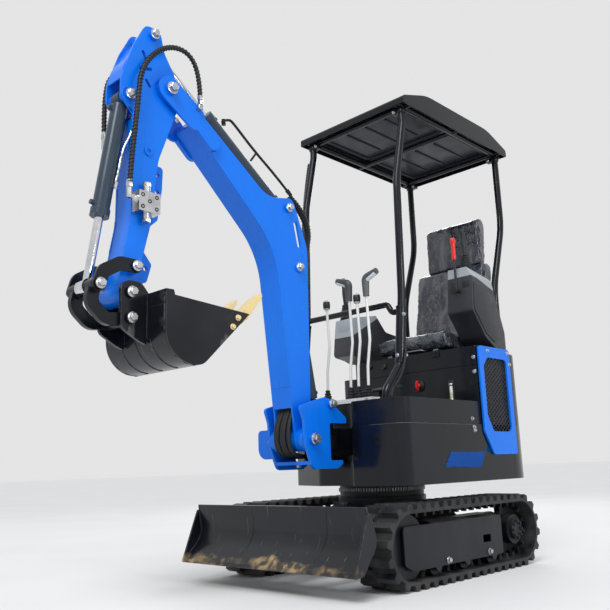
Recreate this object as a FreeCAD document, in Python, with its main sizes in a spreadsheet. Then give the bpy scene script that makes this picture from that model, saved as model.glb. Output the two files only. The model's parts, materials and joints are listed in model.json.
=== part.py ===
import FreeCAD, Part

import math
import os
import re

import Sketcher
from FreeCAD import Placement, Rotation, Vector

# Mini excavator with a swing boom, a blade, rubber tracks and a four-post canopy.
# The origin is on the ground under the slew axis: +X to the blade, +Y to the left, +Z up.
# Millimetres. Profiles of the digging arm lie in planes across Y, plans in planes across Z.

SIZES = {
    "tracks": [
        ("track_mid", 375, "middle of each track from the machine's centre plane"),
        ("track_width", 180, "width of a track"),
        ("axle_rise", 150, "height of the idler and sprocket axes, to the lugs' tips"),
        ("idler_place", 423, "idler axis ahead of the slew axis"),
        ("sprocket_place", -378, "sprocket axis, behind the slew axis"),
        ("band_thick", 12, "rubber band without its lugs"),
        ("lug_rise", 21, "lug height above the band"),
        ("lug_count", 42, "lugs on each half of a track"),
        ("lug_root", 34, "lug length at the band"),
        ("lug_crest", 18, "lug length at the tip"),
        ("guide_rise", 20, "height of the inner guide teeth"),
        ("guide_width", 18, "width of a guide tooth"),
        ("guide_apart", 24, "middle of a guide tooth from the track's middle"),
        ("rim_apart", 48, "middle of a wheel's rim from the track's middle"),
        ("rim_width", 18, "width of a wheel's rim"),
        ("sprocket_teeth", 11, "teeth on a drive sprocket"),
        ("sprocket_root", 92, "radius at the foot of the sprocket's teeth"),
        ("roller_radius", 35, "track roller rim"),
        ("roller_shaft", 12, "roller shaft"),
        ("roller_count", 3, "rollers on each side"),
        ("roller_first", -150, "rearmost roller"),
        ("roller_last", 250, "foremost roller"),
        ("rail_outer", 450, "outer face of the side frame's cover plate"),
        ("rail_inner", 300, "inner face of the side frame"),
        ("rail_low", 66, "lower edge of the side frame"),
        ("rail_high", 222, "upper edge of the side frame"),
        ("rail_front", 459, "front end of the side frame"),
        ("rail_rear", -223, "rear end of the side frame's cover plate"),
        ("plate_wall", 8, "steel plate of frames"),
        ("motor_radius", 74, "travel motor"),
        ("frame_low", 105, "lower face of the centre frame"),
        ("frame_high", 262, "upper face of the centre frame"),
        ("frame_front", 300, "front of the centre frame"),
        ("frame_rear", -300, "rear of the centre frame"),
    ],
    "blade": [
        ("blade_pivot_x", 265, "blade arm pin"),
        ("blade_pivot_z", 165, "blade arm pin"),
        ("blade_arm_apart", 160, "middle of a blade arm from the centre plane"),
        ("blade_arm_thick", 30, "thickness of a blade arm"),
        ("blade_half", 465, "half width of the blade"),
        ("blade_low", 82, "cutting edge above the ground"),
        ("blade_high", 305, "top edge of the blade"),
        ("blade_edge_x", 744, "cutting edge"),
        ("blade_top_x", 660, "top edge"),
        ("blade_base_x", 262, "blade cylinder's base pin"),
        ("blade_base_z", 276, "blade cylinder's base pin"),
        ("blade_eye_x", 584, "blade cylinder's rod pin"),
        ("blade_eye_z", 196, "blade cylinder's rod pin"),
    ],
    "slewing": [
        ("ring_radius", 193, "slew ring"),
        ("ring_bore", 120, "opening in the slew ring"),
        ("ring_split", 310, "height where the slew ring turns"),
        ("house_low", 361, "underside of the house"),
        ("gap_slew", 0.3, "clearance of the slew ring"),
    ],
    "house": [
        ("console_outer", 380, "outer side of the left console"),
        ("console_inner", 246, "inner side of the left console"),
        ("house_half", 400, "half width of the house"),
        ("skirt_high", 600, "top of the skirt"),
        ("skirt_front", 352, "front face of the skirt on the left"),
        ("skirt_rear", -480, "rear end of the skirt"),
        ("sheet_wall", 6, "sheet of covers"),
        ("notch_x", 262, "rear of the recess around the kingpost"),
        ("notch_y", 134, "left side of the recess around the kingpost"),
        ("tail_x", -730, "tail of the counterweight"),
        ("tail_round", 240, "corner radius of the counterweight"),
        ("floor_high", 700, "top of the floor"),
        ("floor_front", 340, "front of the floor"),
        ("box_front", -220, "front face of the seat box"),
        ("box_rear", -500, "rear face of the seat box"),
        ("box_high", 950, "top of the seat box"),
        ("box_right", -300, "right side of the seat box"),
        ("tail_cover_x", -700, "rear face of the engine cover"),
        ("tail_cover_high", 935, "top of the engine cover"),
        ("door_half", 190, "half width of the rear door"),
        ("seat_mid", 27, "seat's middle from the centre plane"),
        ("seat_half", 205, "half width of the seat"),
        ("post_apart", 280, "canopy post from the centre plane"),
        ("post_radius", 17, "canopy post tube"),
        ("post_foot_left", 292, "foot of the left front post"),
        ("post_foot_right", 158, "foot of the right front post"),
        ("sleeve_x", 184, "lower end of the front posts' sleeves"),
        ("sleeve_low", 850, "lower end of the front posts' sleeves"),
        ("sleeve_long", 250, "length of the front posts' sleeves"),
        ("roof_half", 326, "half width of the canopy"),
        ("roof_low", 2049, "lower edge of the canopy"),
        ("roof_front", 101, "front edge of the canopy"),
        ("roof_rear", -826, "rear edge of the canopy"),
        ("roof_rise", 62, "crown of the canopy above its rim"),
        ("roof_rim", 36, "depth of the canopy's rim"),
    ],
    "swing": [
        ("king_x", 400, "kingpost axis"),
        ("king_radius", 62, "kingpost barrel"),
        ("king_low", 467, "underside of the kingpost barrel"),
        ("king_high", 612, "top of the kingpost barrel"),
        ("king_pin", 24, "kingpost pin"),
        ("ear_thick", 14, "bracket ears above and below the barrel"),
        ("bracket_outer", 105, "outer face of the bracket's side plates"),
        ("bracket_plate", 13, "bracket's side plates"),
        ("lug_pin_x", 420, "swing cylinder's rod pin"),
        ("lug_pin_y", -200, "swing cylinder's rod pin"),
        ("lug_plate_x", 495, "rear face of the plate that ties the swing cylinder's lugs"),
        ("swing_base_x", -250, "swing cylinder's base pin"),
        ("swing_base_y", -160, "swing cylinder's base pin"),
        ("swing_level", 540, "height of the swing cylinder"),
    ],
    "boom": [
        ("foot_x", 544, "boom foot pin"),
        ("foot_z", 550, "boom foot pin"),
        ("foot_radius", 46, "boom foot hub"),
        ("boom_half", 55, "half width of the boom"),
        ("boom_plate", 8, "boom side plates"),
        ("boom_mouth", 122, "open lower end of the boom's box above the foot pin"),
        ("fin_slot", 9, "half width of the slot in the boom's fins"),
        ("boom_base_x", 436, "boom cylinder's base pin"),
        ("boom_base_z", 689, "boom cylinder's base pin"),
        ("boom_eye_x", 541, "boom cylinder's rod pin"),
        ("boom_eye_z", 1253, "boom cylinder's rod pin"),
        ("knee_x", 671, "corner of the boom's underside"),
        ("knee_z", 1308, "corner of the boom's underside"),
        ("knee_round", 350, "radius of the boom's bend"),
        ("stick_base_x", 595, "arm cylinder's base pin"),
        ("stick_base_z", 1497, "arm cylinder's base pin"),
        ("elbow_x", 1200, "arm pivot pin"),
        ("elbow_z", 1810, "arm pivot pin"),
        ("fork_inner", 62, "inner face of the boom's fork plates"),
        ("fork_plate", 10, "boom's fork plates"),
        ("fork_radius", 50, "round end of the fork plates"),
    ],
    "arm": [
        ("stick_eye_x", 1264, "arm cylinder's rod pin"),
        ("stick_eye_z", 2010, "arm cylinder's rod pin"),
        ("stick_half", 50, "half width of the arm"),
        ("stick_plate", 8, "arm side plates"),
        ("head_slot", 6, "half width of the slots in the arm's head plates"),
        ("scoop_base_x", 1362, "bucket cylinder's base pin"),
        ("scoop_base_z", 1738, "bucket cylinder's base pin"),
        ("guide_x", 1343, "guide link pin"),
        ("guide_z", 1112, "guide link pin"),
        ("link_x", 1477, "bucket cylinder's rod pin"),
        ("link_z", 1033, "bucket cylinder's rod pin"),
        ("wrist_x", 1355, "bucket pin"),
        ("wrist_z", 1024, "bucket pin"),
        ("wrist_radius", 38, "arm's end boss"),
        ("wrist_half", 60, "half length of the arm's end boss"),
        ("thumb_hole", 9, "holes of the thumb brackets"),
        ("pin_gap", 0.1, "clearance of a pin in its bore"),
        ("side_gap", 1, "side clearance beside a boss"),
    ],
    "bucket": [
        ("ear_x", 1354, "bucket link pin"),
        ("ear_z", 938, "bucket link pin"),
        ("ear_plate", 12, "bucket ears"),
        ("bucket_half", 180, "half width of the bucket"),
        ("bucket_side", 8, "bucket side plates"),
        ("bucket_shell", 6, "bucket floor"),
        ("lip_x", 930, "bucket lip"),
        ("lip_z", 985, "bucket lip"),
        ("heel_z", 785, "lowest line of the bucket"),
        ("back_x", 1293, "back wall of the bucket"),
        ("mouth_z", 1013, "rear end of the bucket's mouth"),
        ("tooth_half", 22, "half width of a tooth"),
        ("tooth_apart", 140, "outer teeth from the middle one"),
        ("guide_plate", 10, "guide link plates"),
        ("link_half", 23, "half width of the curved links"),
    ],
    "hydraulics": [
        ("barrel_radius", 30, "cylinder tube"),
        ("barrel_wall", 5, "wall of a cylinder tube"),
        ("rod_radius", 15, "piston rod"),
        ("eye_radius", 28, "cylinder eye"),
        ("eye_half", 24, "half width of a cylinder eye"),
        ("pin_radius", 15, "cylinder pin"),
        ("gland_long", 26, "gland at the rod end of a tube"),
        ("gland_step", 3, "gland stands out from the tube"),
        ("small_barrel", 24, "swing and blade cylinder tube"),
        ("small_rod", 12, "swing and blade piston rod"),
        ("small_eye", 22, "swing and blade cylinder eye"),
        ("small_half", 18, "half width of a swing or blade cylinder eye"),
        ("small_pin", 11, "swing and blade cylinder pin"),
        ("hose_radius", 10, "hose with its guard"),
        ("hose_apart", 21, "distance between the middles of neighbouring hoses"),
        ("loop_apart", 86, "hoses over the elbow from the centre plane"),
        ("cable_radius", 6, "wrapped cable on a canopy post"),
        ("boom_closed", 556, "boom cylinder, closed"),
        ("stick_closed", 530, "arm cylinder, closed"),
        ("scoop_closed", 492, "bucket cylinder, closed"),
        ("swing_closed", 490, "swing cylinder, closed"),
        ("blade_closed", 296, "blade cylinder, closed"),
    ],
}

doc = FreeCAD.newDocument("mini_excavator")
sheet = doc.addObject("Spreadsheet::Sheet", "Sizes")
nodes = []


class Sizes:
    """Reads one size of the sheet by its name, for points that are worked out in code."""

    def __getattr__(self, name):
        return float(sheet.get(name))


size = Sizes()


def fill_sheet():
    row = 1
    for group, lines in SIZES.items():
        sheet.set("A%d" % row, group)
        row += 1
        for alias, value, meaning in lines:
            sheet.set("A%d" % row, meaning)
            sheet.set("B%d" % row, str(value))
            sheet.setAlias("B%d" % row, alias)
            row += 1
    doc.recompute()


def bound(text):
    """An expression with each size's name pointed at the sheet."""
    return re.sub(r"[a-z]\w*", lambda found: "Sizes." + found.group(), text)


# Outlines


def rounded(points):
    """Edges of a closed outline of (u, v) or (u, v, corner radius) points."""
    count = len(points)
    entries = []
    for index, point in enumerate(points):
        here = Vector(point[0], point[1], 0)
        radius = point[2] if len(point) > 2 else 0
        if not radius:
            entries.append((here, None, here))
            continue
        before = Vector(*points[index - 1][:2], 0) - here
        after = Vector(*points[(index + 1) % count][:2], 0) - here
        before.normalize()
        after.normalize()
        half = before.getAngle(after) / 2
        tangent = radius / math.tan(half)
        bisector = before + after
        bisector.normalize()
        centre = here + bisector * (radius / math.sin(half))
        entries.append((here + before * tangent, centre - bisector * radius, here + after * tangent))
    edges = []
    for index, (start, middle, end) in enumerate(entries):
        if middle is not None:
            edges.append(Part.Arc(start, middle, end))
        following = entries[(index + 1) % count][0]
        if (following - end).Length > 1e-4:
            edges.append(Part.LineSegment(end, following))
    return edges


def inset(points, depth):
    """A closed outline moved inwards by depth; points run counter-clockwise."""
    count = len(points)
    moved = []
    for index, point in enumerate(points):
        here = Vector(point[0], point[1], 0)
        before = here - Vector(*points[index - 1][:2], 0)
        after = Vector(*points[(index + 1) % count][:2], 0) - here
        before.normalize()
        after.normalize()
        normal_before = Vector(-before.y, before.x, 0)
        normal_after = Vector(-after.y, after.x, 0)
        shift = (normal_before + normal_after) * (depth / (1 + normal_before.dot(normal_after)))
        turn_left = before.cross(after).z > 0
        radius = point[2] if len(point) > 2 else 0
        if radius:
            radius = max(radius - depth, 0) if turn_left else radius + depth
        moved.append((here.x + shift.x, here.y + shift.y, radius))
    return moved


def band(points, depth):
    """A closed outline of a strip that follows an open line of points, on its left side."""
    first = Vector(*points[0][:2], 0)
    last = Vector(*points[-1][:2], 0)
    inner = inset(points, depth)
    start = Vector(*points[1][:2], 0) - first
    end = last - Vector(*points[-2][:2], 0)
    start.normalize()
    end.normalize()
    inner[0] = (first.x - start.y * depth, first.y + start.x * depth, 0)
    inner[-1] = (last.x - end.y * depth, last.y + end.x * depth, 0)
    return list(points) + inner[::-1]


def rectangle(low_u, low_v, high_u, high_v, radius=0):
    return [
        (low_u, low_v, radius),
        (high_u, low_v, radius),
        (high_u, high_v, radius),
        (low_u, high_v, radius),
    ]


def strap(points, half):
    """A bent bar with round ends that follows an open line of (u, v, bend radius) points."""
    first = Vector(*points[0][:2], 0)
    last = Vector(*points[-1][:2], 0)
    start = first - Vector(*points[1][:2], 0)
    end = last - Vector(*points[-2][:2], 0)
    start.normalize()
    end.normalize()
    line = [(first.x + start.x * half, first.y + start.y * half, 0)] + list(points[1:-1])
    line.append((last.x + end.x * half, last.y + end.y * half, 0))
    left = band(line, half)[len(line):]
    right = band(line, -half)[len(line):]
    outline = right[::-1] + left
    for index in (0, len(line) - 1, len(line), 2 * len(line) - 1):
        outline[index] = outline[index][:2] + (half - 1,)
    return outline


def capsule(first, second, radius):
    """A strip with round ends about two points."""
    start = Vector(*first, 0)
    end = Vector(*second, 0)
    along = end - start
    along.normalize()
    across = Vector(-along.y, along.x, 0) * radius
    along = along * radius
    corners = [start - along - across, end + along - across, end + along + across, start - along + across]
    return [(corner.x, corner.y, radius) for corner in corners]


def turned(points, origin, angle):
    """Points of a local outline, turned by an angle in degrees and moved to an origin."""
    cos = math.cos(math.radians(angle))
    sin = math.sin(math.radians(angle))
    return [
        (origin[0] + p[0] * cos - p[1] * sin, origin[1] + p[0] * sin + p[1] * cos) + tuple(p[2:])
        for p in points
    ]


class Circle:
    """A round outline whose radius is an expression of sizes."""

    def __init__(self, u, v, radius):
        self.centre = Vector(u, v, 0)
        self.radius = radius


class Piece:
    """A body built from sketches on its own origin planes."""

    PLANES = {"plan": ("XY_Plane", 1), "side": ("XZ_Plane", -1), "front": ("YZ_Plane", 1)}

    def __init__(self, label, place=None):
        self.body = doc.addObject("PartDesign::Body", label)
        self.body.Label = label
        if place:
            self.body.Placement = place
        self.planes = {item.Role: item for item in self.body.Origin.OriginFeatures}
        self.steps = 0
        nodes.append(self.body)

    def sketch(self, plane, level, outlines):
        role, sense = self.PLANES[plane]
        self.steps += 1
        label = "%s_outline_%d" % (self.body.Label, self.steps)
        drawing = self.body.newObject("Sketcher::SketchObject", label)
        drawing.AttachmentSupport = [(self.planes[role], "")]
        drawing.MapMode = "FlatFace"
        for outline in outlines:
            if isinstance(outline, Circle):
                index = drawing.addGeometry(Part.Circle(outline.centre, Vector(0, 0, 1), 10), False)
                place = drawing.addConstraint(Sketcher.Constraint("Radius", index, 10))
                drawing.setExpression("Constraints[%d]" % place, bound(outline.radius))
            else:
                drawing.addGeometry(rounded(outline), False)
        text = bound(level) if sense > 0 else "-(%s)" % bound(level)
        drawing.setExpression("AttachmentOffset.Base.z", text)
        return drawing

    def add(self, plane, low, high, *outlines):
        """A pad between two levels of the plane's axis."""
        sense = self.PLANES[plane][1]
        drawing = self.sketch(plane, low if sense > 0 else high, outlines)
        pad = self.body.newObject("PartDesign::Pad", "%s_pad_%d" % (self.body.Label, self.steps))
        pad.Profile = drawing
        pad.setExpression("Length", "(%s) - (%s)" % (bound(high), bound(low)))
        return self

    def cut(self, plane, low, high, *outlines):
        """A pocket between two levels of the plane's axis."""
        sense = self.PLANES[plane][1]
        drawing = self.sketch(plane, high if sense > 0 else low, outlines)
        pocket = self.body.newObject("PartDesign::Pocket", "%s_pocket_%d" % (self.body.Label, self.steps))
        pocket.Profile = drawing
        pocket.setExpression("Length", "(%s) - (%s)" % (bound(high), bound(low)))
        return self

    def pair(self, plane, low, high, *outlines):
        """The same pad on both sides of the middle."""
        self.add(plane, low, high, *outlines)
        return self.add(plane, "-(%s)" % high, "-(%s)" % low, *outlines)

    def cut_pair(self, plane, low, high, *outlines):
        self.cut(plane, low, high, *outlines)
        return self.cut(plane, "-(%s)" % high, "-(%s)" % low, *outlines)

    def middle(self, plane, half, *outlines):
        """A pad that is symmetric about the middle."""
        return self.add(plane, "-(%s)" % half, half, *outlines)

    def bore(self, half, *circles):
        """A hole through everything across the machine."""
        return self.cut("side", "-(%s)" % half, half, *circles)


def feature(label, shape, place=None):
    """A sub-part whose shape comes from the functions below; its sizes are read from the sheet."""
    item = doc.addObject("Part::Feature", label)
    item.Label = label
    item.Shape = shape
    if place:
        item.Placement = place
    nodes.append(item)
    return item


def pipe(points, radius):
    """A round tube along straight runs joined by tangent arcs; a point is (place, bend radius)."""
    path = []
    last = points[0][0]
    for index in range(1, len(points) - 1):
        here, bend = points[index]
        before = points[index - 1][0] - here
        after = points[index + 1][0] - here
        before.normalize()
        after.normalize()
        half = before.getAngle(after) / 2
        tangent = bend / math.tan(half)
        bisector = before + after
        bisector.normalize()
        start = here + before * tangent
        end = here + after * tangent
        middle = here + bisector * (bend / math.sin(half) - bend)
        path.append(Part.LineSegment(last, start).toShape())
        path.append(Part.Arc(start, middle, end).toShape())
        last = end
    path.append(Part.LineSegment(last, points[-1][0]).toShape())
    spine = Part.Wire(path)
    direction = points[1][0] - points[0][0]
    profile = Part.Wire(Part.makeCircle(radius, points[0][0], direction))
    return spine.makePipeShell([profile], True, False)


def joined(shapes):
    """One solid from overlapping ones."""
    return shapes[0].fuse(shapes[1:]).removeSplitter()


# Tracks and their frame


def on_wheel(middle, radius, angle):
    """A point at a radius and an angle from the axle of a sprocket or an idler."""
    return Vector(middle + radius * math.cos(angle), 0, size.axle_rise + radius * math.sin(angle))


def track_point(travel, radius):
    """A point at a distance along the track's middle line, at a radius from the wheels."""
    run = size.idler_place - size.sprocket_place
    bend = size.axle_rise - size.lug_rise - size.band_thick / 2
    arc = math.pi * bend
    travel = travel % (2 * run + 2 * arc)
    if travel < run:
        return Vector(size.sprocket_place + travel, 0, size.axle_rise + radius)
    if travel < run + arc:
        angle = math.pi / 2 - (travel - run) / bend
        return on_wheel(size.idler_place, radius, angle)
    if travel < 2 * run + arc:
        return Vector(size.idler_place - (travel - run - arc), 0, size.axle_rise - radius)
    angle = -math.pi / 2 - (travel - 2 * run - arc) / bend
    return on_wheel(size.sprocket_place, radius, angle)


def track_shape():
    """A rubber band with chevron lugs outside and two rows of guide teeth inside, in the centre plane."""
    outer = size.axle_rise - size.lug_rise
    inner = outer - size.band_thick
    count = int(size.lug_count)
    run = size.idler_place - size.sprocket_place
    length = 2 * run + 2 * math.pi * (outer - size.band_thick / 2)
    pitch = length / count

    def ring(radius):
        start = Vector(size.sprocket_place, 0, size.axle_rise + radius)
        front = Vector(size.idler_place, 0, size.axle_rise + radius)
        edges = [
            Part.LineSegment(start, front),
            Part.Arc(front, front + Vector(radius, 0, -radius), front + Vector(0, 0, -2 * radius)),
            Part.LineSegment(front + Vector(0, 0, -2 * radius), start + Vector(0, 0, -2 * radius)),
            Part.Arc(start + Vector(0, 0, -2 * radius), start + Vector(-radius, 0, -radius), start),
        ]
        return Part.Wire([edge.toShape() for edge in edges])

    def half(phase, low, high):
        corners = []
        for index in range(count):
            middle = (index + phase) * pitch
            corners.append(track_point(middle - size.lug_root / 2, outer))
            corners.append(track_point(middle - size.lug_crest / 2, size.axle_rise))
            corners.append(track_point(middle + size.lug_crest / 2, size.axle_rise))
            corners.append(track_point(middle + size.lug_root / 2, outer))
        shape = Part.Face(Part.makePolygon(corners + corners[:1])).cut(Part.Face(ring(inner))).Faces[0]
        shape.translate(Vector(0, low, 0))
        return shape.extrude(Vector(0, high - low, 0))

    edge = size.track_width / 2
    solids = [half(0.25, 0, edge), half(0.75, -edge, 0)]
    for index in range(count):
        for side in (-1, 1):
            start = (index + 0.25) * pitch
            foot = inner + size.band_thick / 2
            corners = [
                track_point(start - size.lug_crest / 2, foot),
                track_point(start - size.lug_crest / 3, inner - size.guide_rise),
                track_point(start + size.lug_crest / 3, inner - size.guide_rise),
                track_point(start + size.lug_crest / 2, foot),
            ]
            tooth = Part.Face(Part.makePolygon(corners + corners[:1]))
            tooth.translate(Vector(0, side * size.guide_apart - size.guide_width / 2, 0))
            solids.append(tooth.extrude(Vector(0, size.guide_width, 0)))
    return joined(solids)


def make_tracks():
    shape = track_shape()
    for label, side in (("track_left", 1), ("track_right", -1)):
        feature(label, shape, Placement(Vector(0, side * size.track_mid, 0), Rotation()))


def make_sprockets():
    """Drive sprockets: a toothed disc between the guide rows, and the bolted hub cap."""
    reach = size.axle_rise - size.lug_rise - size.band_thick - 2
    step = 2 * math.pi / int(size.sprocket_teeth)
    flank = ((-0.3, size.sprocket_root), (-0.13, reach), (0.13, reach), (0.3, size.sprocket_root))
    outline = []
    for index in range(int(size.sprocket_teeth)):
        for share, radius in flank:
            angle = (index + share) * step
            tip = on_wheel(size.sprocket_place, radius, angle)
            outline.append((tip.x, tip.z))
    x, z = size.sprocket_place, size.axle_rise
    piece = Piece("drive_sprockets")
    half = "(guide_apart - guide_width / 2 - side_gap)"
    piece.pair("side", "track_mid - %s" % half, "track_mid + %s" % half, outline)
    piece.pair("side", "track_mid", "track_mid + rim_apart", Circle(x, z, "motor_radius - 12"))
    cap = Circle(x, z, "motor_radius - 30")
    piece.pair("side", "track_mid + rim_apart", "track_mid + rim_apart + 12", cap)


def wheel(piece, x, z, rim, hub):
    """Two rims on a hub, clear of the guide teeth between them, in both tracks."""
    half = "(rim_apart + rim_width / 2)"
    near = "(rim_apart - rim_width / 2)"
    piece.pair("side", "track_mid - %s" % half, "track_mid + %s" % half, Circle(x, z, hub))
    piece.pair("side", "track_mid + %s" % near, "track_mid + %s" % half, Circle(x, z, rim))
    piece.pair("side", "track_mid - %s" % half, "track_mid - %s" % near, Circle(x, z, rim))


def roller_places():
    """Roller axes along the side frame, and their height."""
    count = int(size.roller_count)
    spread = size.roller_last - size.roller_first
    rise = size.lug_rise + size.band_thick + size.roller_radius + size.gap_slew
    return [(size.roller_first + spread * index / (count - 1), rise) for index in range(count)]


def make_idlers_and_rollers():
    """Front idlers and track rollers with their shafts, between the plates of the side frames."""
    idlers = Piece("front_idlers")
    x, z = size.idler_place, size.axle_rise
    wheel(idlers, x, z, "axle_rise - lug_rise - band_thick - gap_slew", "motor_radius")
    idlers.pair("side", "rail_inner + plate_wall", "rail_outer - plate_wall", Circle(x, z, "king_pin"))
    rollers = Piece("track_rollers")
    for x, z in roller_places():
        wheel(rollers, x, z, "roller_radius", "roller_shaft + 2")
        shaft = Circle(x, z, "roller_shaft")
        rollers.pair("side", "rail_inner + plate_wall", "rail_outer - plate_wall", shaft)


def make_side_frames():
    """Side frames: plates with lobes at the rollers, a roof between them and the motor's mounting arm."""
    plate = [
        (size.rail_rear, size.rail_low, 12),
        (size.rail_front - 52, size.rail_low, 20),
        (size.rail_front - 3, size.rail_low + 23, 12),
        (size.rail_front, size.rail_high, 20),
        (size.rail_rear, size.rail_high, 12),
    ]
    ridge = size.rail_high + size.plate_wall
    roof = [
        (size.rail_inner, size.rail_high - 40),
        (size.rail_outer - 1, size.rail_high - 40),
        (size.rail_outer - 1, size.rail_high - 1),
        (size.rail_outer - 30, ridge),
        (size.rail_inner + 40, ridge),
        (size.rail_inner, size.rail_high - 1),
    ]
    axle = (size.sprocket_place, size.axle_rise)
    frame = Piece("side_frames")
    outer = ("rail_outer - plate_wall", "rail_outer")
    inner = ("rail_inner", "rail_inner + plate_wall")
    for levels in (outer, inner):
        frame.pair("side", *levels, plate)
        for x, z in roller_places():
            frame.pair("side", *levels, capsule((x, z), (x, z + 40), 20))
    frame.pair("side", *inner, capsule(axle, (size.rail_rear + 60, size.axle_rise), 72))
    for section in (roof, [(-u, v) for u, v in roof][::-1]):
        frame.add("front", "rail_rear + 20", "idler_place - axle_rise", section)
    window = rectangle(size.rail_rear + 90, size.rail_low + 55, size.rail_rear + 150, size.rail_low + 85)
    frame.cut_pair("side", *outer, window)
    frame.cut_pair("side", *inner, Circle(*axle, "motor_radius - 12 + pin_gap"))


def make_motors():
    """Travel motors: a stepped body on the inner side of each sprocket."""
    motors = Piece("travel_motors")
    axle = (size.sprocket_place, size.axle_rise)
    motors.pair("side", "rail_inner - 60", "rail_inner - pin_gap", Circle(*axle, "motor_radius - 6"))
    motors.pair("side", "rail_inner - pin_gap", "track_mid - guide_apart + guide_width / 2 + side_gap",
                Circle(*axle, "motor_radius - 12"))
    motors.pair("side", "rail_inner - 105", "rail_inner - 60", Circle(*axle, "motor_radius - 34"))


def make_track_frame():
    """Centre frame: a box under the slew ring, sloped wings to the side frames and the blade's ears."""
    frame = Piece("track_frame")
    wing = [
        (-size.rail_inner, size.rail_low + 60),
        (size.rail_inner, size.rail_low + 60),
        (size.rail_inner, size.rail_high - 30),
        (size.ring_radius + 15, size.frame_high),
        (-size.ring_radius - 15, size.frame_high),
        (-size.rail_inner, size.rail_high - 30),
    ]
    box = rectangle(size.frame_rear, -size.ring_radius, size.frame_front - 90, size.ring_radius, 40)
    frame.add("front", "frame_rear + 120", "frame_front - 130", wing)
    frame.add("plan", "frame_low", "frame_high", box)
    frame.cut("plan", "frame_low - 1", "frame_high - plate_wall", inset(box, 30))
    frame.add("plan", "frame_high - 1", "ring_split", Circle(0, 0, "ring_radius"))
    frame.cut("plan", "frame_high - 9", "ring_split", Circle(0, 0, "ring_bore"))
    arm = (size.blade_pivot_x, size.blade_pivot_z)
    ear = capsule((arm[0] - 80, arm[1]), arm, 26)
    reach = "(blade_arm_thick / 2 + side_gap)"
    for low, high in ((" - %s - 12" % reach, " - %s" % reach), (" + %s" % reach, " + %s + 12" % reach)):
        frame.pair("side", "blade_arm_apart" + low, "blade_arm_apart" + high, ear)
    pivot = Circle(*arm, "rod_radius")
    frame.pair("side", "blade_arm_apart - %s" % reach, "blade_arm_apart + %s" % reach, pivot)
    base = (size.blade_base_x, size.blade_base_z)
    tab = capsule((base[0] - 70, size.frame_high - 34), base, 20)
    frame.pair("side", "small_half + side_gap", "small_half + side_gap + 12", tab)
    frame.middle("side", "small_half + side_gap", Circle(*base, "small_pin"))


def make_blade():
    """Blade: a curved mouldboard with a cutting edge, end plates, two arms and the cylinder's ears."""
    low = (size.blade_edge_x, size.blade_low)
    top = (size.blade_top_x, size.blade_high)
    knee = (size.blade_top_x - 22, (size.blade_low + size.blade_high) / 2 - 12)
    board = band([top + (0,), knee + (90,), (low[0] - 18, low[1] + 12, 0)], size.plate_wall)
    end_plate = [
        top + (10,),
        (knee[0] - 14, knee[1], 60),
        (low[0] - 40, low[1] + 4, 10),
        (low[0] + 4, low[1], 4),
    ]
    blade = Piece("blade")
    blade.middle("side", "blade_half - plate_wall", board)
    blade.middle("side", "blade_half", [
        low, (low[0] - 8, low[1] + 14), (low[0] - 46, low[1] + 40), (low[0] - 52, low[1] + 30)])
    blade.pair("side", "blade_half - plate_wall", "blade_half", end_plate)
    rib = [(knee[0] - 30, knee[1] - 45), (knee[0] + 10, knee[1] - 62), (knee[0] + 4, knee[1] + 45),
           (knee[0] - 30, knee[1] + 35)]
    blade.middle("side", "blade_half - 60", rib)
    arm = (size.blade_pivot_x, size.blade_pivot_z)
    beam = capsule(arm, (knee[0] - 20, knee[1] - 4), 24)
    blade.pair("side", "blade_arm_apart - blade_arm_thick / 2", "blade_arm_apart + blade_arm_thick / 2", beam)
    blade.bore("blade_half / 2", Circle(*arm, "rod_radius + pin_gap"))
    eye = (size.blade_eye_x, size.blade_eye_z)
    ear = capsule((knee[0] - 4, knee[1]), eye, 18)
    blade.pair("side", "small_half + side_gap", "small_half + side_gap + 10", ear)


def make_undercarriage():
    make_tracks()
    make_sprockets()
    make_idlers_and_rollers()
    make_side_frames()
    make_motors()
    make_track_frame()
    make_blade()


# Hydraulic cylinders, built along X and then turned to their pins


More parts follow.
